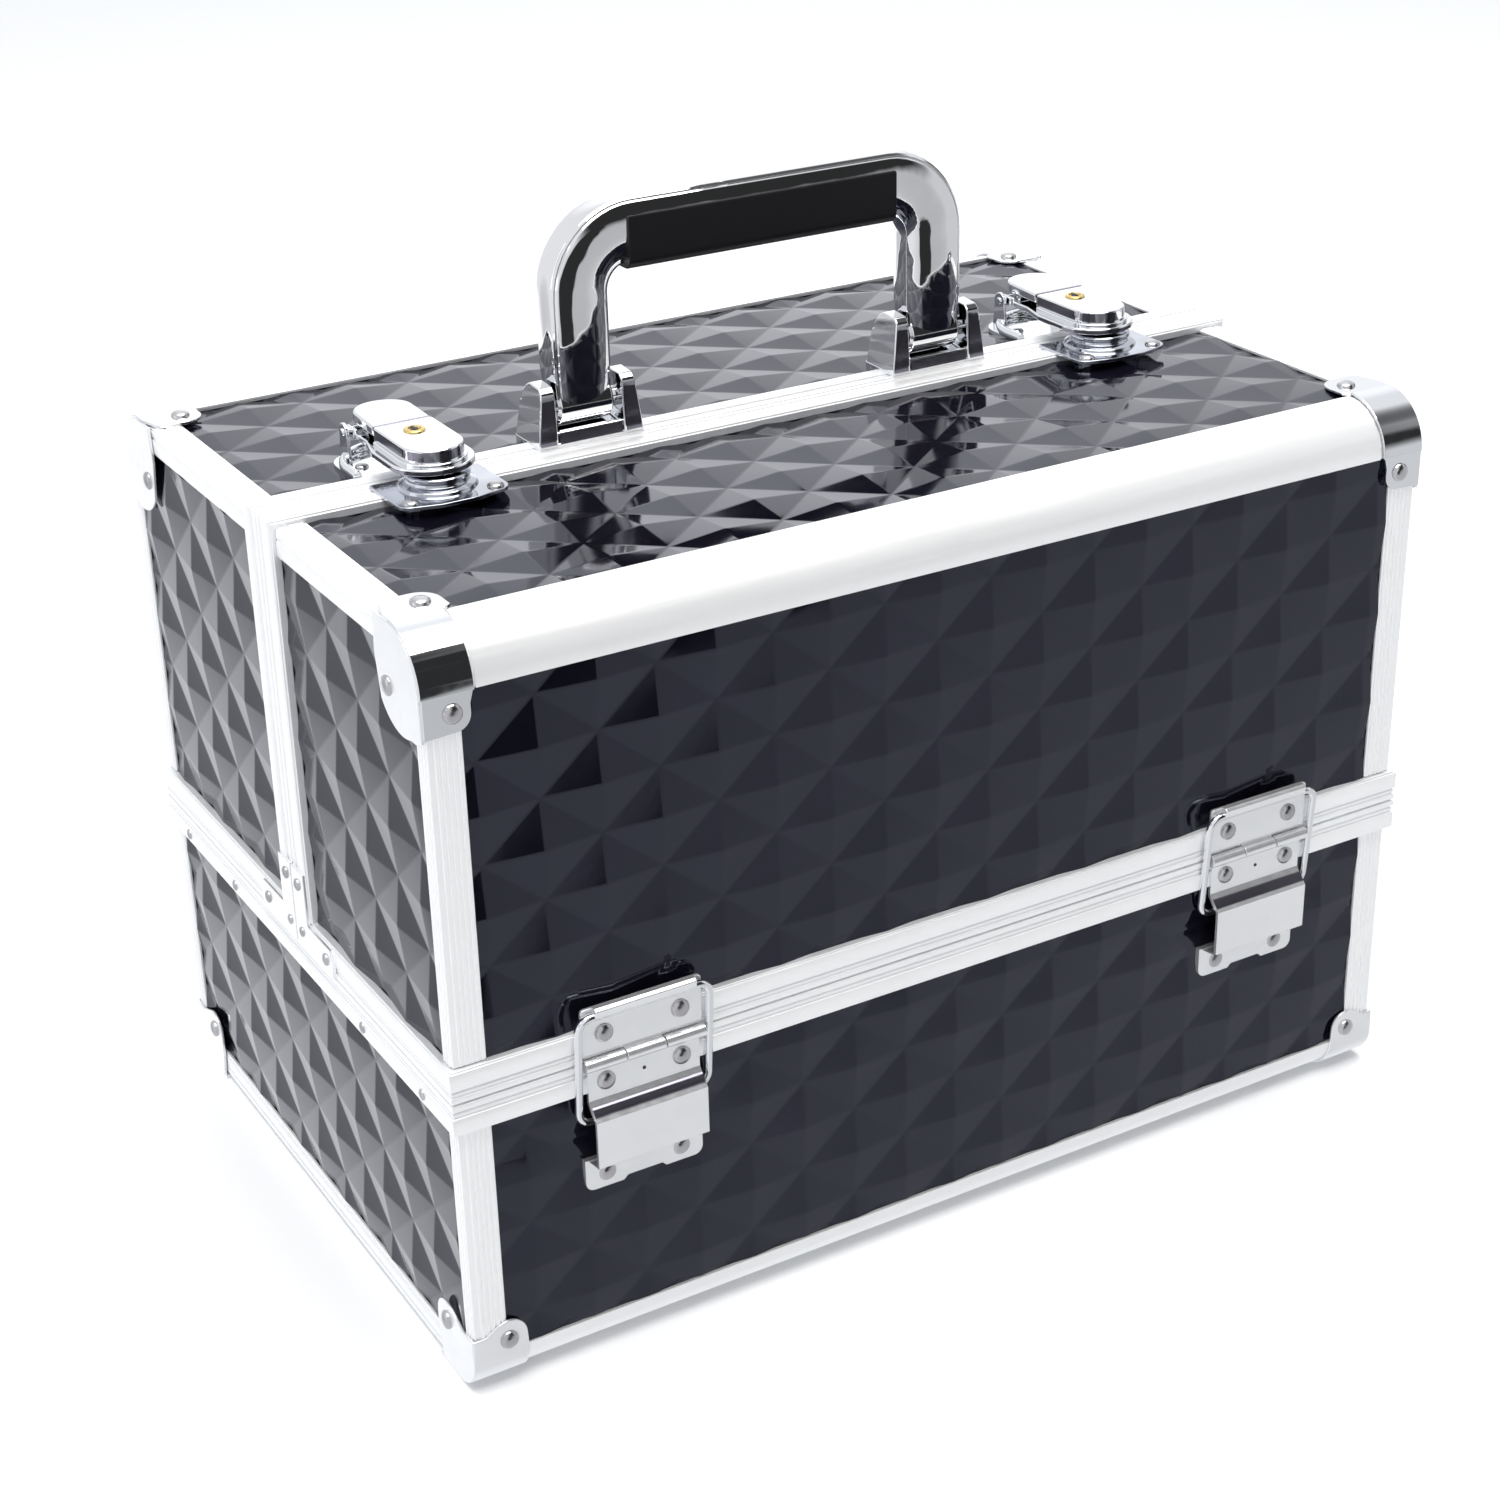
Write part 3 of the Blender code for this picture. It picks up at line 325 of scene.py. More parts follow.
def ridges(bands, base=-0.1, corner=0.18):
    """Profile points, in metres, of ridges given as (low, high, height) in millimetres."""
    points = []
    for low, high, height in bands:
        points += [
            (low, base),
            (low, height - corner),
            (low + corner * 0.35, height - corner * 0.3),
            (low + corner, height),
            (high - corner, height),
            (high - corner * 0.35, height - corner * 0.3),
            (high, height - corner),
            (high, base),
        ]
    return [(a * MM, h * MM) for a, h in points]


# --- Embossed panels ----------------------------------------------------------------------------
CELL_U, CELL_V = 0.01945, 0.0164  # half diagonals of a diamond
PEAK = 0.0019  # height of a diamond's middle
VALLEY = 0.00015  # height of its corners
FLAT = 0.0001  # height where the sheet is pressed flat
REACH = 1e-5  # a vertex this near a flat window's edge belongs to it


def cut(shape, axis, limit, sign=1, clear=False):
    """Cuts the sheet along constant u or v; clear drops what lies on the sign's side."""
    middle, normal = [0, 0, 0], [0, 0, 0]
    middle[axis], normal[axis] = limit, sign
    bmesh.ops.bisect_plane(
        shape, geom=[*shape.verts, *shape.edges, *shape.faces],
        plane_co=middle, plane_no=normal, clear_outer=clear,
    )


def diamonds(name, body, to_world, low, high, node, flat=()):
    """A sheet of four-sided diamond pyramids between low and high in the (u, v) plane. One diamond
    corner is at node, and the sheet is pressed flat in the windows where a bail swings."""
    shape = bmesh.new()
    first_i = math.floor((low[0] - node[0]) / CELL_U) - 1
    last_i = math.ceil((high[0] - node[0]) / CELL_U) + 1
    first_j = math.floor((low[1] - node[1]) / CELL_V) - 1
    last_j = math.ceil((high[1] - node[1]) / CELL_V) + 1
    grid = {}
    for i in range(first_i, last_i + 1):
        for j in range(first_j, last_j + 1):
            height = PEAK if (i + j) % 2 else VALLEY
            grid[i, j] = shape.verts.new(
                (node[0] + i * CELL_U, node[1] + j * CELL_V, height)
            )
    for i in range(first_i, last_i):
        for j in range(first_j, last_j):
            a, b, c, d = grid[i, j], grid[i + 1, j], grid[i + 1, j + 1], grid[i, j + 1]
            if (i + j) % 2 == 0:
                shape.faces.new((a, b, c))
                shape.faces.new((a, c, d))
            else:
                shape.faces.new((a, b, d))
                shape.faces.new((b, c, d))
    bmesh.ops.bevel(
        shape, geom=shape.edges[:], offset=0.0006, segments=2, profile=0.5, affect="EDGES"
    )
    for axis in (0, 1):
        for limit, sign in ((low[axis], -1), (high[axis], 1)):
            cut(shape, axis, limit, sign, True)
    for low_u, high_u, low_v, high_v in flat:
        for axis, limits in ((0, (low_u, high_u)), (1, (low_v, high_v))):
            for limit in limits:
                cut(shape, axis, limit)
        for vert in shape.verts:
            u, v, _ = vert.co
            if low_u - REACH < u < high_u + REACH and low_v - REACH < v < high_v + REACH:
                vert.co.z = FLAT
    for vert in shape.verts:
        vert.co = to_world(*vert.co)
    piece(name, shape, body, PANEL, smooth=12)


def on_front(side, h0=PANEL_Y):
    return lambda u, v, h: Vector((u, side * (h0 + h), v))


def on_end(end):
    return lambda u, v, h: Vector((end * (PANEL_X + h), u, v))


def on_top(u, v, h):
    return Vector((u, v, PANEL_TOP + h))


LONG_X = RAIL_X - RAIL_LONG
SIDE_Y = RAIL_Y - RAIL_SIDE
TOP_Y = RAIL_Y - ROUND_TOP
upper_low, upper_high = PART_Z + RIM_BAND, RAIL_TOP - ROUND_TOP
base_high = PART_Z - RIM_BAND
for half, side in SIDES.items():
    near = PART_Y + side * RIM_BAND
    span = sorted((near, side * SIDE_Y))
    top_span = sorted((near, side * TOP_Y))
    diamonds(f"{half}_half_panel_long", f"{half}_half", on_front(side), (-LONG_X, upper_low),
             (LONG_X, upper_high), (-0.1267, 0.2137))
    diamonds(f"{half}_half_panel_top", f"{half}_half", on_top, (RAIL_SHORT - RAIL_X, top_span[0]),
             (RAIL_X - RAIL_SHORT, top_span[1]), (-0.1267, side * 0.0600))
    diamonds(f"base_panel_{half}", "base", on_front(side),
             (-LONG_X, RAIL_BOTTOM + ROUND_BOTTOM), (LONG_X, base_high), (-0.1190, 0.0560),
             [(x - 0.0250, x + 0.0250, 0.0695, 0.0805) for x in (-HINGE_X, HINGE_X)])
    for name, end in ENDS.items():
        diamonds(f"{half}_half_panel_{name}", f"{half}_half", on_end(end),
                 (span[0], upper_low), (span[1], RAIL_TOP - RAIL_SHORT),
                 (0.0673, 0.1960) if side > 0 else (-0.0681, 0.2170))
for name, end in ENDS.items():
    diamonds(f"base_panel_{name}", "base", on_end(end), (-SIDE_Y, RAIL_BOTTOM + RAIL_SHORT),
             (SIDE_Y, base_high), (0.0620, 0.0870))
for node in ("base_shell", "front_half_shell", "rear_half_shell"):
    NODES[node].data.materials.clear()
    NODES[node].data.materials.append(LINING)

# --- Rims and rails -----------------------------------------------------------------------------
RIM_BANDS = ridges([(0.25, 2.2, 0.45), (2.9, 3.9, 0.25), (4.6, 10.4, 0.6)])
FLUTES_LONG = ridges([(0.5 + 1.75 * i, 1.85 + 1.75 * i, 0.28) for i in range(5)], corner=0.22)
FLUTES_SIDE = ridges([(0.5 + 1.75 * i, 1.85 + 1.75 * i, 0.28) for i in range(3)], corner=0.22)


def ring_trim(shape, z, up):
    """Mouldings round all four faces, from the parting plane away from it."""
    across = (0, 0, up)
    for side in (-1, 1):
        moulding(shape, (-RIM_X, side * RIM_Y, z), (RIM_X, side * RIM_Y, z), (0, side, 0), across,
                 RIM_BANDS, (1, 1))
        moulding(shape, (side * RIM_X, -RIM_Y, z), (side * RIM_X, RIM_Y, z), (side, 0, 0), across,
                 RIM_BANDS, (1, 1))


shape = bmesh.new()
ring_trim(shape, PART_Z - 0.00015, -1)
piece("base_rim_trim", shape, "base", ALU_X)
for half, side in SIDES.items():
    shape = bmesh.new()
    z, edge = PART_Z + 0.00015, PART_Y + side * 0.00015
    moulding(shape, (-RIM_X, side * RIM_Y, z), (RIM_X, side * RIM_Y, z), (0, side, 0), (0, 0, 1),
             RIM_BANDS, (1, 1))
    for end in (-1, 1):
        moulding(shape, (end * RIM_X, edge, z), (end * RIM_X, side * RIM_Y, z), (end, 0, 0),
                 (0, 0, 1), RIM_BANDS, (0, 1))
        moulding(shape, (end * RIM_X, edge, z + 0.0110), (end * RIM_X, edge, RIM_TOP), (end, 0, 0),
                 (0, side, 0), RIM_BANDS, (0, 1))
    moulding(shape, (-RIM_X, edge, RIM_TOP), (RIM_X, edge, RIM_TOP), (0, 0, 1), (0, side, 0),
             RIM_BANDS, (1, 1))
    piece(f"{half}_half_rim_trim", shape, f"{half}_half", ALU_Y)

for half, side in SIDES.items():
    for place, body, low, high in (
        ("base", "base", RAIL_BOTTOM + 0.0120, base_high - 0.0004),
        (f"{half}_half", f"{half}_half", upper_low + 0.0004, RAIL_TOP - ROUND_TOP),
    ):
        shape = bmesh.new()
        for end in (-1, 1):
            moulding(shape, (end * LONG_X, side * RAIL_Y, low),
                     (end * LONG_X, side * RAIL_Y, high),
                     (0, side, 0), (end, 0, 0), FLUTES_LONG)
            moulding(shape, (end * RAIL_X, side * SIDE_Y, low),
                     (end * RAIL_X, side * SIDE_Y, high),
                     (end, 0, 0), (0, side, 0), FLUTES_SIDE)
        piece(f"{place}_rail_flutes_{half}", shape, body, ALU_Z)

# --- Materials on the CAD nodes that show -------------------------------------------------------
for name, node in NODES.items():
    if "shell" in name:
        continue
    # The rims are painted darker, as shade in the grooves between the trims' ridges.
    if name.endswith("_rim"):
        material, width = RIM_GROOVE_SHADE, 0.0004
    elif "edge_frame" in name:
        material, width = ALU_X, 0.0004
    elif any(part in name for part in ("tray_link", "rim_plate", "hinge_lower", "hinge_upper")):
        material, width = NICKEL, 0.00025
    elif "tray" in name:
        material, width = TRAY, 0.0006
    elif "grip" in name:
        material, width = GRIP, 0.0012
    elif "cylinder" in name:
        material, width = BRASS, 0.0003
    elif "bracket" in name:
        material, width = (NICKEL if "bottom" in name else CHROME), 0.0006
    else:
        material, width = CHROME, 0.0005
    node.data.materials.clear()
    node.data.materials.append(material)
    weld = node.modifiers.new("Weld", "WELD")
    weld.merge_threshold = 0.00001
    soften(node, width)

# --- Trays' dividers ----------------------------------------------------------------------------
for half, side in SIDES.items():
    for level, wells in (("lower", (-0.084, 0.0, 0.084)), ("upper", (-0.056, 0.056))):
        low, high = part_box(f"{half}_{level}_tray")
        shape = bmesh.new()
        for x in wells:
            outline = rounded(low.y + 0.0019, high.y - 0.0019, low.z + 0.0016, high.z - 0.006,
                              0.003)
            plate(shape, outline, lambda u, v, h, x=x: Vector((x + h, u, v)), -0.0008, 0.0008)
        piece(f"{half}_{level}_tray_dividers", shape, f"{half}_{level}_tray_body", TRAY,
              bevel=0.0003)

# --- Rivets -------------------------------------------------------------------------------------

def rivets(name, body, places):
    shape = bmesh.new()
    for centre, normal, *size in places:
        dome(shape, centre, normal, *size)
    piece(name, shape, body, RIVET, smooth=60)


for half, side in SIDES.items():
    for name, end in ENDS.items():
        tag = f"{half}_{name}"
        rivets(f"top_bracket_rivets_{tag}", f"{half}_half", [
            ((end * 0.1685, side * 0.0965, FACE_Z), (0, 0, 1)),
            ((end * 0.1720, side * FACE_Y, 0.2315), (0, side, 0)),
            ((end * FACE_X, side * 0.0990, 0.2340), (end, 0, 0)),
        ])
        rivets(f"bottom_bracket_rivets_{tag}", "base", [
            ((end * 0.1690, side * FACE_Y, 0.0180), (0, side, 0)),
            ((end * FACE_X, side * 0.1020, 0.0180), (end, 0, 0)),
        ])
        x = end * HINGE_X
        upper_face = RIM_Y + 0.0015
        lower_face = PANEL_Y + 0.0015
        rivets(f"hinge_rivets_upper_{tag}", f"{half}_half", [
            ((x + dx, side * upper_face, PART_Z + 0.0095), (0, side, 0)) for dx in (-0.013, 0.013)
        ])
        rivets(f"hinge_rivets_lower_{tag}", "base", [
            *[((x + dx, side * upper_face, PART_Z - 0.0072), (0, side, 0))
              for dx in (-0.013, 0.013)],
            *[((x + dx, side * lower_face, 0.0660), (0, side, 0)) for dx in (-0.013, 0.013)],
        ])

# --- Swept forms --------------------------------------------------------------------------------


def sweep(shape, path, normal, section, closed=False, scale=None):
    """Section points (a, b) along a flat path: a lies in its plane and b along the normal."""
    path, normal, rows = [Vector(p) for p in path], Vector(normal), []
    for i, point in enumerate(path):
        before = path[i - 1] if i or closed else None
        after = path[(i + 1) % len(path)] if i + 1 < len(path) or closed else None
        legs = [
            (b - a).normalized() for a, b in ((before, point), (point, after)) if a and b
        ]
        along = sum(legs, Vector()).normalized()
        stretch = 1 / max(0.5, along.dot(legs[0]))
        side = normal.cross(along)
        size = scale(i) if scale else 1.0
        rows.append([
            shape.verts.new(point + size * (side * a * stretch + normal * b)) for a, b in section
        ])
    pairs = list(zip(rows, rows[1:])) + ([(rows[-1], rows[0])] if closed else [])
    for one, two in pairs:
        for i in range(len(section)):
            j = (i + 1) % len(section)
            shape.faces.new((one[i], one[j], two[j], two[i]))
    if not closed:
        shape.faces.new(rows[0])
        shape.faces.new(rows[-1])


def ring_section(radius, steps=10):
    turns = [2 * math.pi * i / steps for i in range(steps)]
    return [(radius * math.cos(t), radius * math.sin(t)) for t in turns]


shape = bmesh.new()
shell_low, shell_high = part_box("base_shell")
plate(shape, rounded(0.004 - RAIL_X, RAIL_X - 0.004, shell_low.y + 0.012, shell_high.y - 0.012,
                     0.004, 4),
      upward, shell_low.z - 0.0004, shell_low.z + 0.0002)
piece("base_underside_sheet", shape, "base", GRIP)

# --- Corner brackets ----------------------------------------------------------------------------
SKIN = 0.0010  # thickness of the pressed corners


def curved_band(shape, end, side, centre, radius, angles, width):
    """Part of a tube wall round the long rail, from the end face inwards."""
    outer = arc(*centre, radius, *angles, 14)
    inner = arc(*centre, radius - SKIN, *angles, 14)
    outline = [*outer, *reversed(inner)]
    plate(shape, outline, lambda u, v, h: Vector((end * h, side * u, v)), FACE_X - width, FACE_X)


for half, side in SIDES.items():
    for name, end in ENDS.items():
        tag = f"{half}_{name}"
        body = f"{half}_half"
        across = lambda u, v, h, e=end, s=side: Vector((e * h, s * u, v))
        flat = lambda u, v, h, e=end, s=side: Vector((e * u, s * v, h))
        front = lambda u, v, h, e=end, s=side: Vector((e * u, s * h, v))
        centre = (RAIL_Y - ROUND_TOP, RAIL_TOP - ROUND_TOP)
        radius = ROUND_TOP + STAND_OFF
        shape = bmesh.new()
        curved_band(shape, end, side, centre, radius, (0, 90), 0.0165)
        lobe = [
            (FACE_X, centre[0] + 0.0008), (FACE_X - 0.0170, centre[0] + 0.0008),
            (FACE_X - 0.0195, centre[0] - 0.0010),
            *arc(FACE_X - 0.0125, 0.0960, 0.0070, 180, 270, 6),
            *arc(FACE_X - 0.0060, 0.0935, 0.0045, 270, 360, 4), (FACE_X, 0.0990),
        ]
        plate(shape, lobe, flat, FACE_Z - SKIN, FACE_Z)
        lobe = [
            (FACE_X - 0.0003, centre[1] + 0.0008), (FACE_X - 0.0162, centre[1] + 0.0008),
            (FACE_X - 0.0150, centre[1] - 0.0035),
            *arc(FACE_X - 0.0100, 0.2305, 0.0050, 180, 270, 6), (FACE_X - 0.0003, 0.2250),
        ]
        plate(shape, lobe, front, FACE_Y - SKIN, FACE_Y)
        piece(f"top_bracket_{tag}_band", shape, body, CHROME,
              [f"top_bracket_{tag}"], bevel=0.0003, smooth=40)
        shape = bmesh.new()
        gusset = [
            *arc(*centre, radius - 0.0009, 88, 2, 14), (FACE_Y - 0.0009, 0.2240), (0.1165, 0.2225),
            *arc(0.1075, 0.2380, 0.0165, 290, 215, 10), (0.0915, 0.2420),
            (0.0925, FACE_Z - 0.0009),
        ]
        plate(shape, gusset, across, FACE_X - 0.0008, FACE_X + 0.0002)
        piece(f"top_bracket_{tag}_gusset", shape, body, NICKEL, bevel=0.00025)
        shape = bmesh.new()
        low = (RAIL_Y - ROUND_BOTTOM, ROUND_BOTTOM + STAND_OFF)
        curved_band(shape, end, side, low, ROUND_BOTTOM + STAND_OFF, (-90, 0), 0.0190)
        lobe = [
            (FACE_X, low[1] - 0.0008), (FACE_X - 0.0190, low[1] - 0.0008),
            *arc(FACE_X - 0.0122, 0.0185, 0.0065, 180, 60, 8), (FACE_X - 0.0045, 0.0212),
            (FACE_X - 0.0004, 0.0212),
        ]
        plate(shape, lobe, front, FACE_Y - SKIN, FACE_Y)
        plate(shape, [(FACE_X, low[0] + 0.0005), (FACE_X - 0.019, low[0] + 0.0005),
                      (FACE_X - 0.017, 0.0945), (FACE_X, 0.0945)], flat, 0.0, SKIN)
        cheek = [
            *arc(*low, ROUND_BOTTOM + 0.0009, -88, 0, 12), (FACE_Y - 0.0004, 0.0212),
            (0.1135, 0.0208),
            *arc(0.1020, 0.0180, 0.0070, 60, 180, 8), (0.0950, 0.0100), (0.0970, 0.0004),
        ]
        plate(shape, cheek, across, FACE_X - SKIN, FACE_X)
        piece(f"bottom_bracket_{tag}_shell", shape, "base", NICKEL,
              [f"bottom_bracket_{tag}"], bevel=0.0003, smooth=40)

for half, side in SIDES.items():
    across = lambda u, v, h, s=side: Vector((h, s * u, v))
    for level, body, centre, radius, turn in (
        ("top", f"{half}_half", (RAIL_Y - ROUND_TOP, RAIL_TOP - ROUND_TOP), ROUND_TOP, (0, 90)),
        ("bottom", "base", (RAIL_Y - ROUND_BOTTOM, RAIL_BOTTOM + ROUND_BOTTOM), ROUND_BOTTOM,
         (-90, 0)),
    ):
        shape = bmesh.new()
        outer = arc(*centre, radius + 0.0003, *turn, 28)
        inner = arc(*centre, radius - 0.0006, *turn, 28)
        plate(shape, [*outer, *reversed(inner)], across, 0.0160 - RAIL_X, RAIL_X - 0.0160)
        piece(f"{body}_{half}_{level}_round_rail", shape, body, ALU_X, smooth=30)

# --- Hinges -------------------------------------------------------------------------------------
LEAF_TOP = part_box("front_hinge_upper_leaf_left")[1].z
POCKET_OUT = -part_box("front_hinge_lower_leaf_left")[0].y
AXIS_Y = RIM_Y + 0.0023
LEAF_HALF = 0.0205  # half the leaves' width
SHELF_HALF = 0.0190  # half the width of the pocket's lip and shade
KNUCKLE_HALF = 0.0066  # half the middle knuckle's length
SHELF_TOP, SHELF_LOW = 0.0930, 0.0732  # bends of the pocket's front sheet
knuckle = arc(AXIS_Y, PART_Z, 0.0021, 0, 342, 19)

for half, side in SIDES.items():
    for name, end in ENDS.items():
        tag, x = f"{half}_{name}", end * HINGE_X
        wall = lambda u, v, h, c=x, s=side: Vector((c + u, s * h, v))
        prism = lambda u, v, h, c=x, s=side: Vector((c + h, s * u, v))
        near, face = RIM_Y + 0.0003, RIM_Y + 0.0015
        shape = bmesh.new()
        plate(shape, rounded(-LEAF_HALF, LEAF_HALF, PART_Z + 0.0024, LEAF_TOP - 0.0012, 0.0012, 3),
              wall, near, face)
        hook = [
            (face - 0.0004, LEAF_TOP - 0.0052), (face + 0.0016, LEAF_TOP - 0.0048),
            (face + 0.0036, LEAF_TOP - 0.0030), (face + 0.0038, LEAF_TOP - 0.0008),
            (face + 0.0028, LEAF_TOP), (face + 0.0004, LEAF_TOP - 0.0002),
            (face - 0.0004, LEAF_TOP - 0.0012),
        ]
        plate(shape, hook, prism, -0.0172, 0.0172)
        plate(shape, knuckle, prism, -KNUCKLE_HALF, KNUCKLE_HALF)
        plate(shape, [(near, PART_Z), (face + 0.0003, PART_Z), (face, PART_Z + 0.003),
                      (near, PART_Z + 0.003)],
              prism, -0.0064, 0.0064)
        piece(f"hinge_{tag}_upper_leaf", shape, f"{half}_half", NICKEL,
              [f"{half}_hinge_upper_leaf_{name}"], bevel=0.00025, smooth=50)
        shape = bmesh.new()
        top, sheet = PART_Z - 0.0024, 0.0012
        line = [
            (face, top), (face, 0.0946), (face + 0.0012, SHELF_TOP), (POCKET_OUT - 0.0012, 0.0906),
            (POCKET_OUT, 0.0894), (POCKET_OUT, SHELF_LOW), (POCKET_OUT - 0.0004, 0.0728),
        ]
        back = [
            (u - sheet, v - (sheet * 0.6 if 0 < i < 4 else 0)) for i, (u, v) in enumerate(line)
        ]
        plate(shape, [*line, *reversed(back)], prism, -0.0192, 0.0192)
        plate(shape, [(POCKET_OUT - 0.0002, SHELF_LOW), (PANEL_Y + 0.0014, 0.0716),
                      (PANEL_Y + 0.0004, 0.0716),
                      (POCKET_OUT - 0.0012, 0.0724)], prism, -SHELF_HALF, SHELF_HALF)
        foot = [
            (-LEAF_HALF, 0.0722), (LEAF_HALF, 0.0722), *arc(0.0175, 0.0640, 0.0030, 0, -90, 5),
            (0.0075, 0.0610), (0.0060, 0.0624), (-0.0060, 0.0624), (-0.0075, 0.0610),
            *arc(-0.0175, 0.0640, 0.0030, 270, 180, 5),
        ]
        plate(shape, foot, wall, PANEL_Y + 0.0002, PANEL_Y + 0.0021)
        for low, high in ((-LEAF_HALF, -0.0070), (0.0070, LEAF_HALF)):
            plate(shape, knuckle, prism, low, high)
            plate(shape, [(near, PART_Z), (face + 0.0003, PART_Z), (face, top - 0.0006),
                          (near, top - 0.0006)],
                  prism, low + 0.0002, high - 0.0002)
        piece(f"hinge_{tag}_lower_leaf", shape, "base", NICKEL,
              [f"{half}_hinge_lower_leaf_{name}"], bevel=0.00025, smooth=50)
        # A disc of painted shade where the pilot hole is.
        shape = bmesh.new()
        lathe(shape, (x, side * face, PART_Z - 0.0072), (0, side, 0),
              [(0.0006, 0.00012), (0.0, 0.0001)], 10)
        piece(f"hinge_{tag}_pilot_hole_shade", shape, "base", SHADOW)
        # Painted shade and dark reflection on the pocket's sloping shelf.
        shape = bmesh.new()
        slope = [
            (face + 0.0013, SHELF_TOP), (face + 0.0022, 0.0925),
            (POCKET_OUT - 0.0016, 0.0910), (POCKET_OUT - 0.0010, 0.0905),
        ]
        plate(shape, [*slope, *[(u - 0.0002, v - 0.0003) for u, v in reversed(slope)]],
              lambda u, v, h, c=x, s=side: Vector((c + h, s * (u + 0.00012), v + 0.00018)),
              -SHELF_HALF, SHELF_HALF)
        piece(f"hinge_{tag}_shelf_shade", shape, "base", CHROME_PAINTED_SHADE)
        low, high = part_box(f"{half}_hinge_bail_{name}")
        pivot_y = (abs(high.y) if side > 0 else abs(low.y)) - 0.0012
        foot_y = (abs(low.y) if side > 0 else abs(high.y)) + 0.0012
        top_z, foot_z = high.z - 0.0012, low.z + 0.0012
        loop = [
            (x + u, side * (foot_y + (pivot_y - foot_y) * (v - foot_z) / (top_z - foot_z)), v)
            for u, v in rounded(-0.0224, 0.0224, foot_z, top_z, 0.0042, 5)
        ]
        corner = Vector(loop[0])
        plane = (Vector(loop[1]) - corner).cross(Vector(loop[9]) - corner).normalized()
        shape = bmesh.new()
        sweep(shape, loop, plane, ring_section(0.00130, 12), closed=True)
        piece(f"hinge_{tag}_bail", shape, f"{half}_bail_{name}", CHROME,
              [f"{half}_hinge_bail_{name}"], smooth=80)

# --- Handle -------------------------------------------------------------------------------------
BOW_LOW, BOW_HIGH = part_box("handle_bow")
HANDLE_Y = (BOW_LOW.y + BOW_HIGH.y) / 2
PIVOT_Z = BOW_LOW.z + 0.007
LEG_X, BEND, HALF_BAR = 0.067, 0.0190, 0.0110
BAR_Z = BOW_HIGH.z - HALF_BAR
path = [
    (-LEG_X, HANDLE_Y, PIVOT_Z), (-LEG_X, HANDLE_Y, PIVOT_Z + 0.012),
    *[(u, HANDLE_Y, v) for u, v in arc(-LEG_X + BEND, BAR_Z - BEND, BEND, 180, 90, 12)],
    *[(u, HANDLE_Y, v) for u, v in arc(LEG_X - BEND, BAR_Z - BEND, BEND, 90, 0, 12)],
    (LEG_X, HANDLE_Y, PIVOT_Z + 0.012), (LEG_X, HANDLE_Y, PIVOT_Z),
]
SIDE_POINTS = (
    (11.0, 3.2), (10.4, 5.2), (9.6, 5.9), (9.2, 5.6), (8.7, 6.3), (7.0, 6.8), (3.5, 7.05),
    (-1.0, 7.0),
    (-5.0, 6.6), (-8.4, 5.6), (-10.3, 4.0), (-11.0, 2.0),
)
section = [
    *[(a * MM, b * MM) for a, b in SIDE_POINTS],
    *[(a * MM, -b * MM) for a, b in reversed(SIDE_POINTS)],
]
shape = bmesh.new()
sweep(shape, path, (0, -1, 0), section, scale=lambda i: 0.93 if i in (0, len(path) - 1) else 1.0)
for end in (-1, 1):
    lathe(shape, (end * LEG_X - 0.0100, HANDLE_Y, PIVOT_Z), (1, 0, 0),
          [(0.0, 0.0), (0.0056, 0.0), (0.0067, 0.0010), (0.0067, 0.0190), (0.0056, 0.0200),
           (0.0, 0.0200)], 28)
    lathe(shape, (end * LEG_X - 0.0155, HANDLE_Y, PIVOT_Z), (1, 0, 0),
          [(0.0, 0.0), (0.0025, 0.0), (0.0025, 0.0310), (0.0, 0.0310)], 14)
piece("handle_bow_polished", shape, "handle", WAVY, ["handle_bow"], bevel=0.0004,
      segments=2, smooth=34)
shape = bmesh.new()
grip_low, grip_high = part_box("handle_grip")
outline = [
    *arc(HANDLE_Y + 0.0042, grip_low.z + 0.0022, 0.0038, -90, 0, 6),
    (HANDLE_Y + 0.0080, grip_high.z - 0.0034),
    (HANDLE_Y + 0.0074, grip_high.z - 0.0028), (HANDLE_Y - 0.0074, grip_high.z - 0.0028),
    (HANDLE_Y - 0.0080, grip_high.z - 0.0034),
    *arc(HANDLE_Y - 0.0042, grip_low.z + 0.0022, 0.0038, 180, 270, 6),
]
plate(shape, outline, sideways, -0.0502, 0.0502)
piece("handle_grip_moulded", shape, "handle", GRIP, ["handle_grip"], bevel=0.0005,
      segments=3, smooth=40)
LEAN = 0.12  # how far the brackets' outer faces lean inwards, per metre of height
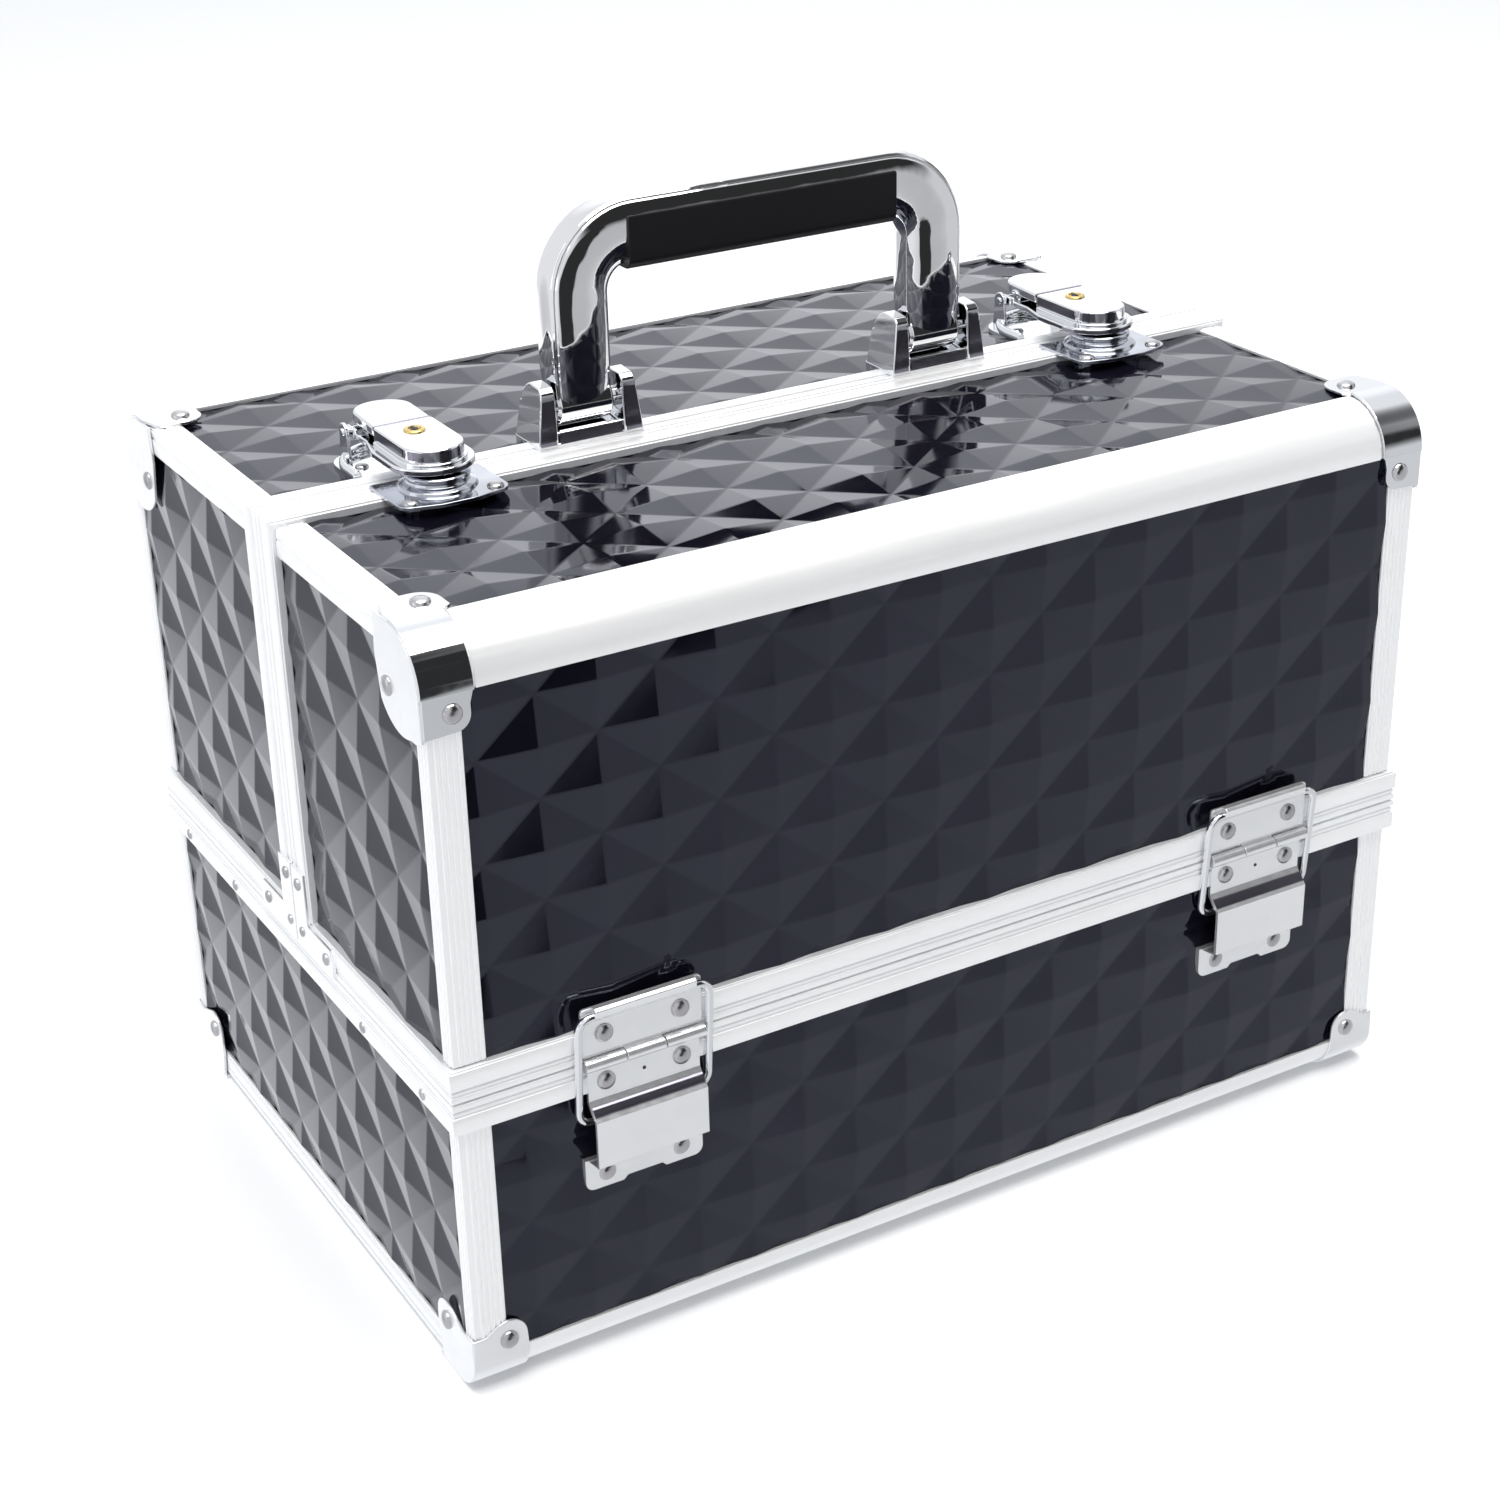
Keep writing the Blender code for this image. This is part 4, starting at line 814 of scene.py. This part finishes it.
for name in ENDS:
    low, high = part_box(f"handle_bracket_{name}")
    x = (low.x + high.x) / 2
    shape = bmesh.new()
    for sign in (-1, 1):
        profile = [
            (low.y, SEAT), (high.y - 0.0015, SEAT), (high.y - 0.0032, 0.2690),
            *arc(HANDLE_Y - 0.0008, 0.2696, 0.0064, 0, 80, 7), (low.y + 0.0030, 0.2754),
            (low.y + 0.0014, 0.2738),
        ]
        rings = [
            [Vector((x + sign * (reach - lean * (v - SEAT)), u, v)) for u, v in profile]
            for reach, lean in ((0.0119, 0.0), (0.0190, LEAN))
        ]
        loft(shape, *rings)
    wall = [(low.y + 0.0003, SEAT), (low.y + 0.0034, SEAT), (low.y + 0.0030, 0.2606),
            (low.y + 0.0010, 0.2606)]
    plate(shape, wall, sideways, x - 0.0125, x + 0.0125)
    tongue = [(low.y + 0.0030, SEAT), (high.y - 0.0035, SEAT), (high.y - 0.0040, 0.2608),
              (low.y + 0.0030, 0.2588)]
    plate(shape, tongue, sideways, x - 0.0116, x + 0.0116)
    plate(shape, rounded(x - 0.0190, x + 0.0190, low.y + 0.0002, high.y - 0.0002, 0.002, 3),
          upward, SEAT, SEAT + 0.0014)
    plate(shape, rounded(x - 0.0188, x + 0.0188, PART_Y + RIM_BAND + 0.0014, high.y - 0.0002,
                         0.002, 3),
          upward, PANEL_SEAT, SEAT + 0.0005)
    piece(f"handle_bracket_{name}_cast", shape, "rear_half", CHROME,
          [f"handle_bracket_{name}"], bevel=0.0007, segments=3, smooth=50)
    # Painted shade and dark reflection on the bracket's front faces and on the wall between its
    # posts.
    shape = bmesh.new()
    face = [(low.y - 0.00012, SEAT + 0.0012), (low.y - 0.00012, 0.2710), (low.y + 0.0004, 0.2725)]
    for sign in (-1, 1):
        ribbon(shape, *[
            [
                (x + sign * (inner or 0.0184 - LEAN * (v - SEAT)), u + 0.078 * (v - SEAT), v)
                for u, v in face
            ]
            for inner in (0.0127, 0.0)
        ])
    wall_line = ((low.y + 0.00025, SEAT + 0.0010), (low.y + 0.0008, 0.2600))
    ribbon(shape, *[[(x + sign * 0.0112, u, v) for u, v in wall_line] for sign in (-1, 1)])
    piece(f"handle_bracket_{name}_shade", shape, "rear_half", CHROME_PAINTED_SHADE)

# --- Latches ------------------------------------------------------------------------------------
PIN_Y, PIN_Z = 0.025, 0.2642  # the hasp's hinge pin
BOSS_Y = -0.0168  # middle of the strike's boss
BLOCK_Y, NOSE_Y = -0.0140, -0.0128  # middles of the lock box's and the flange's round ends
LOCK_TOP = 0.2702  # top of the lock box and of the thumb tab
SPLIT_Y = 0.0078  # where the thumb tab begins
LOOP_Z = 0.2556  # middle of the wire loop
FLANK_Z = (0.2668, 0.2694)  # shaded band on the lock box's sides
for name, end in ENDS.items():
    x = end * LATCH_X
    shape = bmesh.new()
    outline = [
        (x - 0.0185, PART_Y - 0.0006), (x - 0.0185, -0.0255),
        *arc(x - 0.0140, -0.0275, 0.0045, 180, 250, 5),
        (x - 0.0060, -0.0342), (x + 0.0060, -0.0342),
        *arc(x + 0.0140, -0.0275, 0.0045, 290, 360, 5),
        (x + 0.0185, -0.0255), (x + 0.0185, PART_Y - 0.0006),
    ]
    plate(shape, outline, upward, SEAT, SEAT + 0.0013)
    plate(shape, rounded(x - 0.0130, x + 0.0130, -0.0260, PART_Y - RIM_BAND - 0.0008, 0.003, 3),
          upward, PANEL_SEAT, SEAT + 0.0003)
    lathe(shape, (x, BOSS_Y, SEAT + 0.0010), (0, 0, 1), [
        (0.0128, 0.0), (0.0122, 0.0012), (0.0110, 0.0018), (0.0101, 0.0022), (0.0099, 0.0032),
        (0.0105, 0.0037), (0.0105, 0.0046), (0.0098, 0.0051), (0.0, 0.0051),
    ], 40)
    piece(f"latch_{name}_strike_plate", shape, "front_half", BLUED,
          [f"latch_strike_{name}"], bevel=0.0003, smooth=40)
    shape = bmesh.new()
    plate(shape, rounded(x - 0.0175, x + 0.0175, PART_Y + RIM_BAND + 0.0008, 0.0315, 0.009, 6),
          upward, PANEL_SEAT, PANEL_TOP + 0.0022)
    loop = [
        (x - 0.0168, 0.0062, LOOP_Z),
        *[(u, v, LOOP_Z) for u, v in arc(x, 0.0142, 0.0168, 180, 0, 18)],
        (x + 0.0168, 0.0062, LOOP_Z),
    ]
    sweep(shape, loop, (0, 0, 1), [(a * 1.1, b * 1.45) for a, b in ring_section(0.0014, 12)])
    for sign in (-1, 1):
        ear = [(0.0212, PANEL_TOP + 0.0020), *arc(PIN_Y, PIN_Z, 0.0030, 200, -20, 10),
               (0.0288, PANEL_TOP + 0.0020)]
        plate(shape, ear, sideways, x + sign * 0.0126 - 0.0006, x + sign * 0.0126 + 0.0006)
    lathe(shape, (x - 0.0138, PIN_Y, PIN_Z), (1, 0, 0),
          [(0.0, 0.0), (0.0013, 0.0001), (0.0013, 0.0275), (0.0, 0.0276)], 12)
    piece(f"latch_{name}_base_plate", shape, "rear_half", CHROME,
          [f"latch_base_{name}"], bevel=0.0003, smooth=50)
    rivets(f"latch_rivets_front_{name}", "front_half", [
        ((x + dx, -0.0285, SEAT + 0.0013), (0, 0, 1), 0.0027, 0.0013) for dx in (-0.0141, 0.0141)
    ])
    rivets(f"latch_rivets_rear_{name}", "rear_half", [
        ((x + dx, 0.0165, PANEL_TOP + 0.0022), (0, 0, 1), 0.0022, 0.0011)
        for dx in (-0.0110, 0.0110)
    ])
    shape = bmesh.new()
    nose = arc(x, NOSE_Y, 0.0137, 180, 360, 22)
    flange = [(x + 0.0137, 0.0010), (x + 0.0112, 0.0110), (x + 0.0112, 0.0215),
              (x - 0.0112, 0.0215),
              (x - 0.0112, 0.0110), (x - 0.0137, 0.0010), *nose]
    plate(shape, flange, upward, 0.2628, 0.2650)
    block = [(x + 0.0100, 0.0072), (x - 0.0100, 0.0072), *arc(x, BLOCK_Y, 0.0100, 180, 360, 20)]
    plate(shape, block, upward, 0.2645, LOCK_TOP)
    step = [(x + 0.0110, 0.0060), (x - 0.0110, 0.0060), *arc(x, BLOCK_Y, 0.0112, 180, 360, 20)]
    plate(shape, step, upward, 0.2646, 0.2662)
    for sign in (-1, 1):
        arm = [(0.0190, 0.2629), (0.0262, 0.2624), *arc(PIN_Y, PIN_Z, 0.0021, -30, 120, 6),
               (0.0190, 0.2664)]
        plate(shape, arm, sideways, x + sign * 0.01085 - 0.0006, x + sign * 0.01085 + 0.0006)
    piece(f"latch_{name}_hasp_block", shape, f"hasp_{name}", CHROME,
          [f"latch_hasp_{name}"], bevel=0.0006, segments=3, smooth=40)
    # Painted shade and dark reflection: darker flanks between the polished edges, and a painted
    # shade line across the top.
    shape = bmesh.new()
    for sign in (-1, 1):
        for reach, rear, fore, low_z, high_z in (
            (0.01012, 0.0062, -0.0150, *FLANK_Z), (0.01382, 0.0005, -0.0128, 0.2634, 0.2644),
        ):
            ribbon(shape, *[
                [(x + sign * reach, v, z) for v in (rear, fore)] for z in (low_z, high_z)
            ])
    for start, stop in ((200, 232), (262, 276), (300, 334)):
        curve = arc(x, BLOCK_Y, 0.01012, start, stop, 6)
        ribbon(shape, *[[(u, v, z) for u, v in curve] for z in FLANK_Z])
    curve = arc(x, NOSE_Y, 0.01382, 182, 358, 22)
    ribbon(shape, *[[(u, v, z) for u, v in curve] for z in (0.2632, 0.2642)])
    plate(shape, [(x - 0.0099, 0.0071), (x + 0.0099, 0.0071), (x + 0.0099, SPLIT_Y),
                  (x - 0.0099, SPLIT_Y)], upward, 0.2690, 0.27028)
    piece(f"latch_{name}_hasp_flank_shade", shape, f"hasp_{name}", CHROME_PAINTED_SHADE)
    shape = bmesh.new()
    tab = [*arc(x, 0.0217, 0.0097, 0, 180, 18), (x - 0.0099, SPLIT_Y), (x + 0.0099, SPLIT_Y)]
    lift = lambda v: 0.0005 * math.sin(math.pi * min(1.0, (v - SPLIT_Y) / 0.027))
    loft(shape, [Vector((u, v, 0.2668)) for u, v in tab],
         [Vector((u, v, LOCK_TOP + lift(v))) for u, v in tab])
    plate(shape, [(0.0226, 0.2630), (0.0274, 0.2630), (0.0274, 0.2674), (0.0226, 0.2674)],
          sideways, x - 0.0060, x + 0.0060)
    piece(f"latch_{name}_thumb_tab", shape, f"thumb_tab_{name}", CHROME,
          [f"latch_tab_{name}"], bevel=0.0009, segments=4, smooth=40)
    low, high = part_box(f"latch_cylinder_{name}")
    lock_y = (low.y + high.y) / 2
    shape = bmesh.new()
    lathe(shape, (x, lock_y, LOCK_TOP), (0, 0, 1),
          [(0.0035, -0.0004), (0.0035, 0.0003), (0.0031, 0.0006),
          (0.0022, 0.0006), (0.0019, 0.0001), (0.0, 0.0001)], 28)
    piece(f"latch_{name}_key_ring", shape, f"key_cylinder_{name}", BRASS,
          [f"latch_cylinder_{name}"], smooth=40)
    # Painted shade for the key slot and the middle of the cylinder.
    shape = bmesh.new()
    lathe(shape, (x, lock_y, LOCK_TOP), (0, 0, 1),
          [(0.0013, 0.0002), (0.0011, 0.0006), (0.0, 0.0007)], 16)
    plate(shape, rounded(x - 0.0004, x + 0.0004, lock_y - 0.0017, lock_y + 0.0017, 0.0003, 2),
          upward, 0.2703, 0.2710)
    piece(f"latch_{name}_keyway_shade", shape, f"key_cylinder_{name}", SHADOW)

# --- Small rivets and rail lines ----------------------------------------------------------------
for name, end in ENDS.items():
    out = RIM_X + 0.0015
    for half, side in SIDES.items():
        rivets(f"rim_plate_rivets_{half}_{name}", f"{half}_half", [
            ((end * out, PART_Y + side * 0.0050, 0.1310), (end, 0, 0), 0.0021, 0.0010),
            ((end * out, PART_Y + side * 0.0245, PART_Z + 0.0053), (end, 0, 0), 0.0021, 0.0010),
            ((end * out, PART_Y + side * 0.0050, PART_Z + 0.0060), (end, 0, 0), 0.0017, 0.0008),
        ])
    rivets(f"base_rim_rivets_{name}", "base", [
        ((end * (RIM_X + 0.0006), y, PART_Z - 0.0075), (end, 0, 0), 0.0019, 0.0009)
        for y in (-0.100, -0.055, 0.055, 0.100)
    ])
SHORT_LINES = ridges([(0.9, 3.0, 0.25), (3.7, 8.6, 0.35)])
for half, side in SIDES.items():
    shape = bmesh.new()
    near, far = PART_Y + side * (RIM_BAND + 0.0005), side * 0.0955
    for end in (-1, 1):
        moulding(shape, (end * RAIL_X, near, RAIL_TOP), (end * RAIL_X, far, RAIL_TOP), (end, 0, 0),
                 (0, 0, -1), SHORT_LINES)
        moulding(shape, (end * RAIL_X, near, RAIL_TOP), (end * RAIL_X, far, RAIL_TOP), (0, 0, 1),
                 (-end, 0, 0), SHORT_LINES)
    piece(f"{half}_half_short_rail_lines", shape, f"{half}_half", ALU_Y)
shape = bmesh.new()
for end in (-1, 1):
    moulding(shape, (end * RAIL_X, -0.094, RAIL_BOTTOM), (end * RAIL_X, 0.094, RAIL_BOTTOM),
             (end, 0, 0), (0, 0, 1), SHORT_LINES)
piece("base_short_rail_lines", shape, "base", ALU_Y)

# --- Stage, lights and camera -------------------------------------------------------------------


def area_light(name, place, target, size, power, colour=(1, 1, 1)):
    data = bpy.data.lights.new(name, "AREA")
    data.shape, data.size, data.size_y = "RECTANGLE", size[0], size[1]
    data.energy, data.color = power, colour
    lamp = bpy.data.objects.new(name, data)
    bpy.context.scene.collection.objects.link(lamp)
    lamp.location = place
    lamp.rotation_euler = (Vector(target) - Vector(place)).to_track_quat("-Z", "Y").to_euler()


floor_shape = bmesh.new()
bmesh.ops.create_grid(floor_shape, x_segments=8, y_segments=8, size=6.0)
floor_mesh = bpy.data.meshes.new("floor")
floor_shape.to_mesh(floor_mesh)
floor_shape.free()
floor = bpy.data.objects.new("floor", floor_mesh)
bpy.context.scene.collection.objects.link(floor)
floor_mesh.materials.append(
    finish("studio_floor", (0.93, 0.935, 0.945), (0.5, 0.6), dark=0.995, bump=0.0)
)
floor.visible_glossy = False
floor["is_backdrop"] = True

world = bpy.data.worlds.new("studio")
world.use_nodes = True
tree = world.node_tree
backdrop = tree.nodes["Background"]
backdrop.inputs["Strength"].default_value = 1.0
# Soft cards round the case, seen only as light and in reflections: (direction, inner and outer
# radius in degrees, brightness added to the room's).
CARDS = (
    ((0.155, -0.96, -0.195), 11, 14, -0.85),
    ((0.385, -0.89, -0.235), 5, 20, -0.16),
    ((0.42, -0.70, -0.60), 8, 26, 0.03),
    ((0.52, -0.72, -0.42), 26, 60, -0.22),
    ((0.42, -0.85, 0.28), 12, 28, -0.85),
    ((0.45, -0.45, 0.75), 12, 28, -0.80),
    ((0.10, -0.60, 0.80), 6, 16, -0.75),
    ((0.92, 0.05, 0.20), 8, 18, -0.80),
    ((-0.85, -0.25, 0.35), 8, 20, -0.75),
    ((-0.60, 0.72, -0.33), 8, 22, -0.20),
    ((-0.04, 0.87, -0.49), 8, 24, 0.55),
    ((-0.30, 0.74, -0.62), 12, 34, -0.05),
    ((0.47, 0.87, 0.10), 6, 18, 0.60),
    ((0.38, 0.72, 0.58), 10, 30, 0.35),
    ((0.0, 0.1, 1.0), 12, 30, 0.60),
)
ray = tree.nodes.new("ShaderNodeTexCoord").outputs["Generated"]
total = None
for towards, inner, outer, gain in CARDS:
    dot = tree.nodes.new("ShaderNodeVectorMath")
    dot.operation = "DOT_PRODUCT"
    dot.inputs[1].default_value = Vector(towards).normalized()
    tree.links.new(ray, dot.inputs[0])
    edge = tree.nodes.new("ShaderNodeMapRange")
    edge.interpolation_type = "SMOOTHSTEP"
    edge.inputs["From Min"].default_value = math.cos(math.radians(outer))
    edge.inputs["From Max"].default_value = math.cos(math.radians(inner))
    edge.inputs["To Min"].default_value = 0.0
    edge.inputs["To Max"].default_value = gain
    tree.links.new(dot.outputs["Value"], edge.inputs["Value"])
    add = tree.nodes.new("ShaderNodeMath")
    tree.links.new(edge.outputs["Result"], add.inputs[0])
    if total is None:
        add.inputs[1].default_value = 0.92
    else:
        tree.links.new(total, add.inputs[1])
    total = add.outputs["Value"]
least = tree.nodes.new("ShaderNodeMath")
least.operation = "MAXIMUM"
least.inputs[1].default_value = 0.03
tree.links.new(total, least.inputs[0])
tint = tree.nodes.new("ShaderNodeVectorMath")
tint.operation = "SCALE"
tint.inputs[0].default_value = (0.955, 0.972, 1.0)
tree.links.new(least.outputs["Value"], tint.inputs["Scale"])
plain = tree.nodes.new("ShaderNodeMix")
plain.data_type = "RGBA"
plain.inputs["B"].default_value = (0.93, 0.935, 0.945, 1.0)
tree.links.new(tree.nodes.new("ShaderNodeLightPath").outputs["Is Camera Ray"],
               plain.inputs["Factor"])
tree.links.new(tint.outputs["Vector"], plain.inputs["A"])
tree.links.new(plain.outputs["Result"], backdrop.inputs["Color"])
scene = bpy.context.scene
scene.world = world
scene.view_settings.view_transform = "Standard"

area_light("left_softbox", (-1.9, -0.1, 0.9), (0, 0, 0.15), (1.6, 1.6), 5, (0.96, 0.98, 1.0))
area_light("top_softbox", (0.0, -0.3, 1.9), (0, 0, 0.1), (1.6, 1.4), 36, (1.0, 0.985, 0.955))

eye = Vector((-0.4373, -0.7438, 0.5431))
look = Vector((0.4497, 0.7800, -0.4352)).normalized()
camera_data = bpy.data.cameras.new("camera")
camera_data.lens, camera_data.sensor_width = 65.0, 36.0
camera = bpy.data.objects.new("camera", camera_data)
scene.collection.objects.link(camera)
roll = Matrix.Rotation(math.radians(1.4065), 4, look)
aim = look.to_track_quat("-Z", "Y").to_matrix().to_4x4()
camera.matrix_world = Matrix.Translation(eye) @ roll @ aim
scene.camera = camera

low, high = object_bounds()
